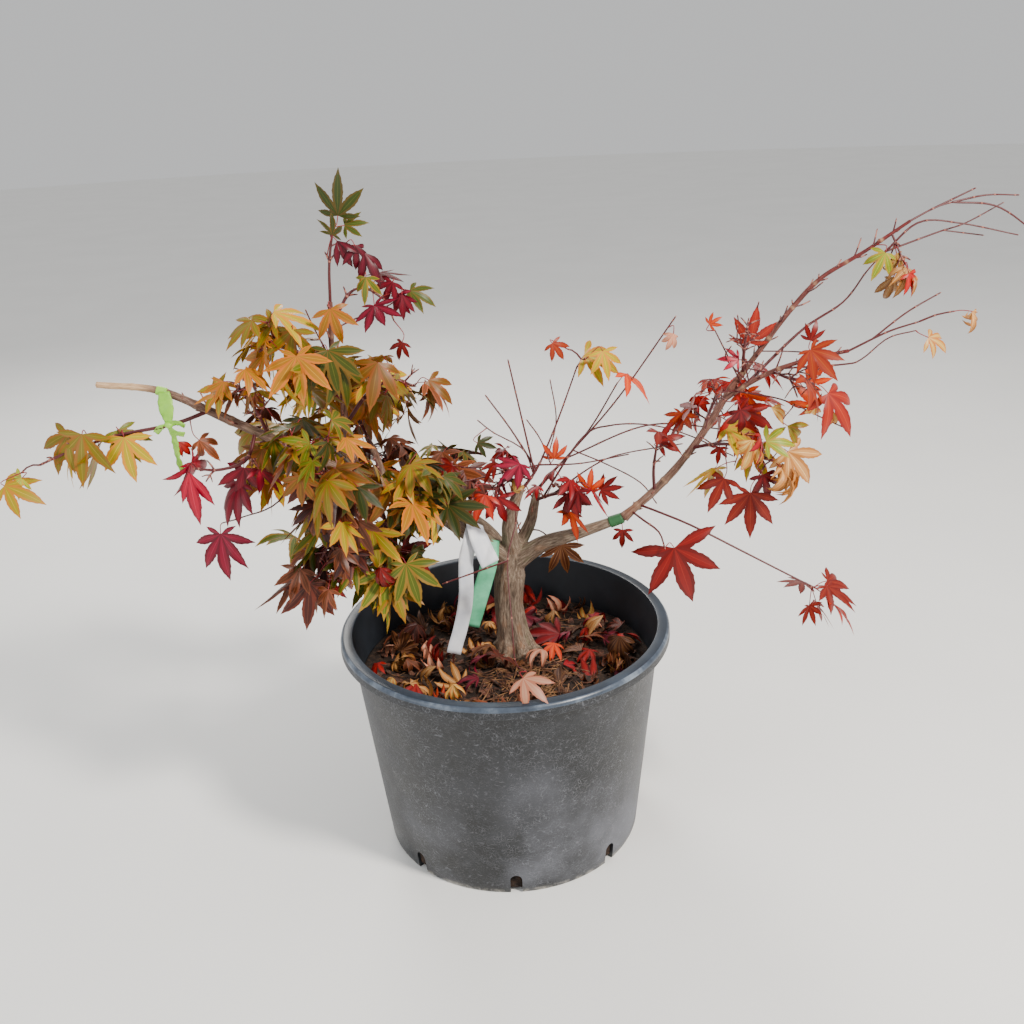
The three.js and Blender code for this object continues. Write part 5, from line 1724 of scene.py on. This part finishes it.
def pot_wall_material():
    """Black plastic with crazed scratches, upright streaks, pale dust and a worn foot, paler low down, partly
    dust and partly painted light.
    """
    material, tree = new_material("pot_wall", 0.5)
    vector = object_vector(tree)
    warp = node(tree, "ShaderNodeTexNoise", Vector=vector, Scale=55, Detail=2).outputs["Color"]
    bent = vector_maths(tree, "MULTIPLY_ADD", warp, (0.02, 0.02, 0.02), vector)
    edges = node(tree, "ShaderNodeTexVoronoi", feature="DISTANCE_TO_EDGE", Vector=bent, Scale=230)
    lines = level(tree, edges.outputs["Distance"], 0.06, 0.0)
    drifts = level(tree, noise_at(tree, vector, 13, 3), 0.38, 0.62, 0.3, 1)
    breaks = product(tree, level(tree, noise_at(tree, vector, 90, 4, 0.7), 0.4, 0.66), drifts)
    scratches = product(tree, lines, breaks)
    streaks = noise_at(tree, scaled(tree, bent, (0.35, 0.35, 1)), 420, 2, 0.6)
    marks = product(tree, level(tree, streaks, 0.6, 0.72), 0.3)
    cloud = noise_at(tree, vector, 9, 5)
    height = node(tree, "ShaderNodeSeparateXYZ", Vector=vector).outputs["Z"]
    # The pale dust grows heavier towards the foot, which is partly dust and partly painted light on the lower
    # wall
    low = level(tree, height, 0.2, 0.02)
    crumble = noise_at(tree, vector, 75, 5, 0.7)
    dust_and_painted_light = product(tree, level(tree, cloud, 0.42, 0.68), maths(tree, "ADD", low, 0.45))
    base = ramp(tree, noise_at(tree, vector, 40, 6, 0.7), [(0.3, 0x0B0D11), (0.7, 0x191C21)])
    broad = level(tree, noise_at(tree, vector, 4.5, 3), 0.4, 0.62, 0.25, 1)
    pale = product(tree, product(tree, dust_and_painted_light, 0.62), broad)
    worn = product(tree, level(tree, height, 0.007, 0.001), level(tree, crumble, 0.42, 0.62))
    tint = base
    for share, value in (
        (pale, 0x6C6E76), (marks, 0x85878E), (product(tree, scratches, 0.42), 0xA2A4AC), (worn, 0xA9A49A),
    ):
        tint = blend_colours(tree, share, tint, value)
    fine = bump(tree, noise_at(tree, vector, 260, 3), 0.25, 0.0004)
    normal = bump(tree, lines, 0.3, 0.0003, Normal=fine)
    wire(tree, Base_Color=tint, Roughness=level(tree, cloud, 0.3, 0.7, 0.3, 0.56), Normal=normal)
    return material


def pot_materials():
    """Wall, lip, inside, and the lip's outer edge, which is painted pale as a highlight and made smoother."""
    lip = [(0.3, 0x1C232C), (0.55, 0x2B3440), (0.75, 0x414C5A)]
    inside = [(0.35, 0x14171C), (0.7, 0x23282F)]
    # The lip's outer edge is painted pale as a highlight
    edge = [(0.3, 0x29313C), (0.5, 0x485260), (0.68, 0x78828E)]
    return [
        pot_wall_material(),
        clouded_material("pot_lip", 0.4, (14, 5), lip, (300, 0.2, 0.0004), (0.32, 0.5)),
        clouded_material("pot_inside", 0.45, (16, 5), inside, (180, 0.2, 0.0004)),
        clouded_material("pot_edge_highlight", 0.32, (30, 5, 0.65), edge, (300, 0.15, 0.0003)),
    ]


def pot_profile():
    """Half the pot's section, up the outside from the foot and down the inside to the floor."""
    height, edge = POT["height"], POT["edge"]
    rim, lip_wall = POT["rim_radius"], POT["lip_wall"]
    foot, shoulder, wall = POT["foot_radius"], POT["shoulder_radius"], POT["wall"]
    under = height - POT["lip_drop"]
    slope = (shoulder - foot) / (height - lip_wall)

    def outer(z):
        return foot + slope * z

    profile = [(0, 0), (foot - 2, 0), (foot - 0.5, 0.5), (outer(2), 2)]
    profile += [(outer(z), z) for z in np.linspace(12, under - 18, 12)]
    return profile + [
        (outer(under - 9), under - 9),
        (outer(under - 8) + 1.5, under - 7.6),
        (outer(under - 6) + 2.3, under - 6),
        (outer(under - 4) + 1.5, under - 4.4),
        (outer(under - 3), under - 3),
        (outer(under - 1), under - 1),
        (shoulder, height - lip_wall),
        (rim - lip_wall, height - lip_wall),
        (rim - lip_wall, under + 0.6),
        (rim - lip_wall + 0.6, under),
        (rim - 0.6, under),
        (rim, under + 0.8),
        (rim - 0.4, height - POT["edge_from"]),
        (rim - 0.9, height - 3.6),
        (rim - 2.1, height - 1.6),
        (rim - 3.8, height - 0.4),
        (rim - 5.8, height),
        (shoulder - wall + edge, height),
        (shoulder - wall + 0.3 * edge, height - 0.3 * edge),
        (shoulder - wall, height - edge),
        (foot - wall, POT["floor"] + 2),
        (foot - wall - 2, POT["floor"]),
        (0, POT["floor"]),
    ]


def make_pot():
    """Tapered wall, rounded turned-over lip with a seam below it, and arched drain slots."""
    profile = pot_profile()
    points, faces, rows = lathe(profile, POT["sides"])
    edge = [z for _, z in profile].index(POT["height"] - POT["edge_from"])
    inner = profile.index((POT["shoulder_radius"] - POT["wall"], POT["height"] - POT["edge"]))
    # The three rows at the lip's outer rounding take the painted highlight
    numbers = [0 if row < edge else 3 if row < edge + 3 else 1 if row < inner else 2 for row in rows]
    materials = pot_materials()
    pot = make_object("pot_shell", points, faces, materials, numbers)
    cutter = make_slots(materials[2])
    cut = pot.modifiers.new("slots", "BOOLEAN")
    cut.operation = "DIFFERENCE"
    cut.solver = "EXACT"
    cut.object = cutter
    mesh = worked_out(pot)
    pot.modifiers.clear()
    pot.data = mesh
    bpy.data.objects.remove(cutter)
    mesh.set_sharp_from_angle(angle=math.radians(38))
    place(pot, "pot", ["pot"])


def make_slots(material):
    """Arched blocks that cut the drain slots."""
    half = SLOT["width"] / 2
    turns = np.linspace(0, math.pi, SLOT["steps"] + 1)
    arch = [(-half, -SLOT["below"]), (half, -SLOT["below"])]
    arch += [(half * math.cos(a), SLOT["height"] - half + half * math.sin(a)) for a in turns]
    pile = Pile()
    count = len(arch)
    faces = [tuple(reversed(range(count))), tuple(range(count, 2 * count))] + ring_faces(count, 1)
    for i in range(SLOT["count"]):
        turn = 2 * math.pi * i / SLOT["count"]
        along, out = (math.cos(turn), math.sin(turn)), (math.sin(turn), -math.cos(turn))
        radii = (POT["foot_radius"] - SLOT["depth"], POT["foot_radius"] + SLOT["depth"])
        points = [
            (x * along[0] + radius * out[0], x * along[1] + radius * out[1], z)
            for radius in radii
            for x, z in arch
        ]
        pile.add(np.array(points), faces)
    return pile_object("slot_cutter", pile, [material], False)


def inner_radius(z):
    share = (z - POT["floor"]) / (POT["height"] - POT["floor"])
    return mix(POT["foot_radius"], POT["shoulder_radius"], share) - POT["wall"]


def rise_from(distance, start):
    share = min(max((distance - start) / SOIL["rise"], 0), 1)
    return share * share * (3 - 2 * share)


def compost_height(x, y):
    """Level round the trunk and at the wall, and uneven between."""
    from_trunk = math.hypot(x - TRUNK["path"][0][0], y - TRUNK["path"][0][1])
    from_wall = inner_radius(SOIL["level"]) - math.hypot(x, y)
    share = rise_from(from_trunk, SOIL["level_round_trunk"]) * rise_from(from_wall, SOIL["level_by_wall"])
    wave = math.sin(x / SOIL["wave"]) * math.cos(y / SOIL["wave"])
    return SOIL["level"] + SOIL["bump"] * share * wave


def surface_height(x, y):
    depth, width = COMPOST["grain"]
    return compost_height(x, y) + depth * noise.fractal(Vector((x / width, y / width, 0.4)), 1, 2, 4)


def spots_on_compost(count, draw, spots):
    """Repeatable places on the compost, clear of the wall and of the trunk."""
    margin, clear = spots
    reach = inner_radius(SOIL["level"]) - margin
    trunk = TRUNK["path"][0]
    found = []
    while len(found) < count:
        x, y = reach * (2 * draw() - 1), reach * (2 * draw() - 1)
        if math.hypot(x, y) < reach and math.hypot(x - trunk[0], y - trunk[1]) > clear:
            found.append((x, y))
    return found


def shard(length, width, height, draw):
    """An angular chip: the hull of a few points in a squashed ball."""
    shape = bmesh.new()
    for _ in range(CHIP["corners"]):
        turn = 2 * math.pi * draw()
        rise = 2 * draw() - 1
        out = math.sqrt(1 - rise * rise)
        shape.verts.new((length * out * math.cos(turn), width * out * math.sin(turn), height * rise))
    result = bmesh.ops.convex_hull(shape, input=shape.verts)
    loose = [item for item in result["geom_interior"] if isinstance(item, bmesh.types.BMVert)]
    bmesh.ops.delete(shape, geom=loose, context="VERTS")
    shape.verts.index_update()
    points = np.array([tuple(vert.co) for vert in shape.verts])
    faces = [tuple(vert.index for vert in face.verts) for face in shape.faces]
    shape.free()
    return points, faces


def turned(points, heading, tilt, roll):
    turn = Matrix.Rotation(heading, 3, "Z") @ Matrix.Rotation(tilt, 3, "Y") @ Matrix.Rotation(roll, 3, "X")
    return points @ np.array(turn).T


def make_chips():
    material, tree = new_material("bark_chips", 0.85)
    vector = object_vector(tree)
    base = ramp(tree, noise_at(tree, vector, 55, 2), [
        (0.3, 0x140A08), (0.42, 0x3A1E14), (0.52, 0x5A3020), (0.62, 0x241410), (0.72, 0x7A543A),
    ])
    grain = noise_at(tree, scaled(tree, vector, (1, 3, 3)), 260, 4, 0.7)
    mixed = blend_colours(tree, level(tree, grain, 0.5, 0.75, 0, 0.6), base, 0x9C8168)
    wire(tree, Base_Color=mixed, Normal=bump(tree, grain, 0.6, 0.001))
    draw = random(LITTER["seed"])
    pile = Pile()
    for x, y in spots_on_compost(LITTER["chips"], draw, CHIP["spots"]):
        length = mix(*CHIP["length"], draw() ** 2)
        points, faces = shard(length, mix(*CHIP["width"], draw()), mix(*CHIP["height"], draw()), draw)
        heading = FULL_TURN * draw()
        points = turned(points, heading, *(CHIP["tilt"] * (draw() - 0.5) for _ in range(2)))
        pile.add(points + (x, y, surface_height(x, y) + 1), faces)
    place(pile_object("bark_chips", pile, [material], False), "compost")


def make_straw():
    material = clouded_material("straw_litter", 0.7, (70, 2), [
        (0.35, 0x2E1A10), (0.5, 0x6A4228), (0.62, 0x8E6640), (0.75, 0x4A2C1C),
    ])
    draw = random(LITTER["seed"] + 1)
    pile = Pile()
    half = LITTER["straws"] // 2
    spots = spots_on_compost(half, draw, STRAW["spots"])
    spots += [tuple(middle + wide * (draw() - 0.5) for middle, wide in STRAW["front"]) for _ in range(half)]
    lowest, loose = STRAW["lift"]
    for x, y in spots:
        reach = mix(*STRAW["reach"], draw())
        heading = FULL_TURN * draw()
        bow = reach * STRAW["bow"] * (draw() - 0.5)
        points = []
        for share in (-1, -0.4, 0.4, 1):
            along = reach * share
            aside = bow * (1 - share * share)
            px = x + along * math.cos(heading) - aside * math.sin(heading)
            py = y + along * math.sin(heading) + aside * math.cos(heading)
            points.append((px, py, surface_height(px, py) + lowest + loose * draw()))
        if max(math.hypot(px, py) for px, py, _ in points) > inner_radius(SOIL["level"]) - STRAW["wall_room"]:
            continue
        width = mix(*STRAW["width"], draw())
        radii = [width * share for share in STRAW["taper"]]
        pile.add(*tube(Curve(points), radii, STRAW["sides"], STRAW["rings"]))
    place(pile_object("straw_litter", pile, [material]), "compost")


def spread_fallen(draw):
    """The set leaves, and others that thin out in an ellipse in front of the trunk."""
    fallen = list(SET_LITTER)
    (middle_x, half_x), (middle_y, half_y), thinned = FALLEN["bare_spot"]
    for x, y in spots_on_compost(LITTER["leaves"], draw, FALLEN["spots"]):
        if ((x - middle_x) / half_x) ** 2 + ((y - middle_y) / half_y) ** 2 < 1 and draw() < thinned:
            continue
        if min(math.dist((x, y), spot) for spot, _, _, _ in SET_LITTER) < FALLEN["set_room"]:
            continue
        tint = LITTER_TINTS[int(draw() * len(LITTER_TINTS))]
        fallen.append(((x, y), mix(*FALLEN["length"], draw()), tint, mix(*FALLEN["curl"], draw())))
    return fallen


def make_fallen_leaves():
    draw = random(LITTER["seed"] + 2)
    tints = sorted({*LITTER_TINTS, *(tint for _, _, tint, _ in SET_LITTER)})
    materials = []
    for tint in tints:
        materials += leaf_materials("fallen", tint, FALLEN["shades"], 0.6, 0.3)
    tilt, (flip_curl, flip_share), (prop_length, prop) = FALLEN["tilt"], FALLEN["flip"], FALLEN["prop"]
    pile = Pile()
    for (x, y), size, tint, curl in spread_fallen(draw):
        kind = FALLEN["lobes"][int(4 * draw())]
        fold = mix(*FALLEN["fold"], draw())
        spread = mix(*FALLEN["spread"], draw())
        flat, faces, zones = leaf_points(kind, size, 0, curl, fold, FALLEN["twist"], draw, spread)
        flip = math.pi if curl > flip_curl and draw() < flip_share else 0
        points = turned(flat, FULL_TURN * draw(), tilt * (draw() - 0.5), flip + tilt * (draw() - 0.5))
        # The largest leaves lie propped on the others, the side away from the front raised
        points = turned(points, 0, 0, prop if size > prop_length else 0)
        reach = inner_radius(SOIL["level"]) - FALLEN["wall_room"]
        points[:, :2] += (x, y) - points[:, :2].mean(axis=0)
        far = np.hypot(points[:, 0], points[:, 1]).max()
        if far > reach:
            points[:, :2] -= np.array((x, y)) / math.hypot(x, y) * (far - reach)
        ground = np.array([surface_height(px, py) for px, py in points[::9, :2]])
        points[:, 2] += (ground - points[::9, 2]).max() + mix(*FALLEN["sink"], draw())
        shade = int(draw() < FALLEN["bright"])
        first = len(ZONES) * (len(FALLEN["shades"]) * tints.index(tint) + shade)
        pile.add(points, faces, [first + zone for zone in zones])
    place(pile_object("fallen_leaves", pile, materials), "leaf_russet")


def make_compost():
    """Uneven crumbs on top, and plain sides and a foot that fill the pot."""
    stops = [(0.3, 0x0E0A08), (0.5, 0x2A1C14), (0.68, 0x4A3424), (0.8, 0x6A4E38)]
    material, tree = new_material("compost", 0.95)
    crumbs = noise_at(tree, object_vector(tree), 160, 6, 0.75)
    wire(tree, Base_Color=ramp(tree, crumbs, stops), Normal=bump(tree, crumbs, 0.9, 0.003))
    sides, rings = COMPOST["sides"], COMPOST["rings"]
    reach = inner_radius(SOIL["level"]) - COMPOST["gap"]
    points = []
    for ring in range(rings, 0, -1):
        uneven = min((rings - ring) / COMPOST["flat_rings"], 1)
        for x, y in circle(sides) * (reach * ring / rings):
            points.append((x, y, mix(compost_height(x, y), surface_height(x, y), uneven)))
    middle, foot = len(points), len(points) + 1
    points.append((0, 0, compost_height(0, 0)))
    foot_reach = inner_radius(POT["floor"]) - COMPOST["foot_gap"]
    points += [(x, y, POT["floor"] + COMPOST["gap"]) for x, y in circle(sides) * foot_reach]
    faces = ring_faces(sides, rings - 1) + fan(middle, (rings - 1) * sides, sides)
    faces += [(k, foot + k, foot + (k + 1) % sides, (k + 1) % sides) for k in range(sides)]
    faces.append(tuple(range(foot, foot + sides)))
    place(make_object("compost", points, faces, [material]), "compost", ["soil"])


def strip(points, width, across, lengthwise, wrinkle, seed, shape=(1, 1)):
    """A thin flat band along a curve, wide across a given direction, with steps lengthwise and a height
    and seed of its wrinkles. shape scales its width along it."""
    curve = Curve(points)
    t = np.linspace(0, 1, lengthwise + 1)
    widths = width * read_at(shape, t)
    ahead = curve.ahead(t)
    flat = np.array(across, float)
    side = flat[None] - (ahead @ flat)[:, None] * ahead
    side /= np.linalg.norm(side, axis=1, keepdims=True)
    face = np.cross(side, ahead)
    rows = []
    for half in (0.5, -0.5):
        for i, spot in enumerate(curve.at(t)):
            for column in np.linspace(-0.5, 0.5, STRIP_COLUMNS):
                crinkle = wrinkle * noise.noise(Vector((column * 2.2, t[i] * 9, seed)))
                shift = crinkle + half * LABELS["thickness"]
                rows.append(spot + side[i] * column * widths[i] + face[i] * shift)
    count = STRIP_COLUMNS
    layer = count * (lengthwise + 1)
    faces = []
    for i in range(lengthwise):
        for k in range(count - 1):
            a = i * count + k
            faces.append((a, a + 1, a + count + 1, a + count))
            faces.append((a + layer + 1, a + layer, a + layer + count, a + layer + count + 1))
    first_column = [i * count for i in range(lengthwise)]
    last_row = lengthwise * count
    faces += [(a, a + count, a + layer + count, a + layer) for a in first_column]
    faces += [(a + layer, a + layer + count, a + count, a) for a in (b + count - 1 for b in first_column)]
    faces += [(a + layer, a + layer + 1, a + 1, a) for a in range(count - 1)]
    faces += [(a, a + 1, a + layer + 1, a + layer) for a in range(last_row, last_row + count - 1)]
    return np.array(rows), faces


def film_material(name, low, high, roughness):
    """Thin plastic that is a little cloudy and creased."""
    return clouded_material(name, roughness, (45, 4), [(0.3, low), (0.7, high)], (130, 0.25, 0.0006))


def place_pile(name, pieces, material, slot_name, node_name):
    pile = Pile()
    for points, faces in pieces:
        pile.add(points, faces)
    place(pile_object(name, pile, [material]), slot_name, [node_name])


def make_labels():
    across = LABELS["across"]
    tongue = strip(LABELS["tongue"], LABELS["tongue_width"], across, 30, 0.8, 3)
    tail = strip(LABELS["tail"], LABELS["white_width"], across, 46, 2.2, 8)
    green = strip(LABELS["green"], LABELS["green_width"], across, 30, 1, 5)
    white = film_material("label_white", 0xD5D8E2, 0xF4F4F6, 0.45)
    place_pile("label_white_strip", [tongue, tail], white, "label_white", "label_white")
    mint = film_material("label_green", 0x4FA97C, 0x7ED8AA, 0.4)
    place_pile("label_green_strip", [green], mint, "label_green", "label_green")


def band(limbs, on, start, end, thickness):
    """A sleeve round a stretch of a limb."""
    curve, radii = limbs[on]
    points = [curve.at(t) for t in (start, (start + end) / 2, end)]
    widths = [read_at(radii, t) + thickness for t in (start, end)]
    return tube(Curve(points), widths, TIES["sides"], TIES["rings"])


def make_ties(limbs):
    tape = film_material("tape", 0x1E4C28, 0x306839, 0.6)
    place_pile("tape_band", [band(limbs, *TIES["right"])], tape, "tape", "tie_right")
    on, start, _, _ = TIES["left"]
    knot = limbs[on][0].at(start)

    def from_knot(offsets):
        return [knot + offset for offset in offsets]

    width = TIES["ribbon_width"]
    pieces = [
        band(limbs, *TIES["left"]),
        strip(from_knot(TIES["loop"]), TIES["loop_width"], (1, 0.1, 0), 16, 3, 2, (0.7, 1, 1, 0.75, 0.4)),
        strip(from_knot(TIES["tail"]), width, (1, -0.4, 0), 26, 3, 6, (0.7, 1, 0.95, 0.8)),
    ]
    pieces += [strip(from_knot(wing), width, (0, -0.5, 1), 10, 2, 4, (0.6, 1, 0.9)) for wing in TIES["wings"]]
    pieces.append(tube(Curve(from_knot(TIES["heart"])), TIES["heart_radii"], 12, 6))
    ribbon = film_material("ribbon", 0x7EBB30, 0xAADF52, 0.45)
    place_pile("ribbon_tie", pieces, ribbon, "ribbon", "tie_left")


make_camera()
make_studio()
limbs = make_limbs()
bark = bark_material()
make_pot()
make_compost()
make_trunk(limbs, bark)
make_branches(limbs, bark)
make_chips()
make_straw()
make_fallen_leaves()
make_crown(limbs)
make_labels()
make_ties(limbs)
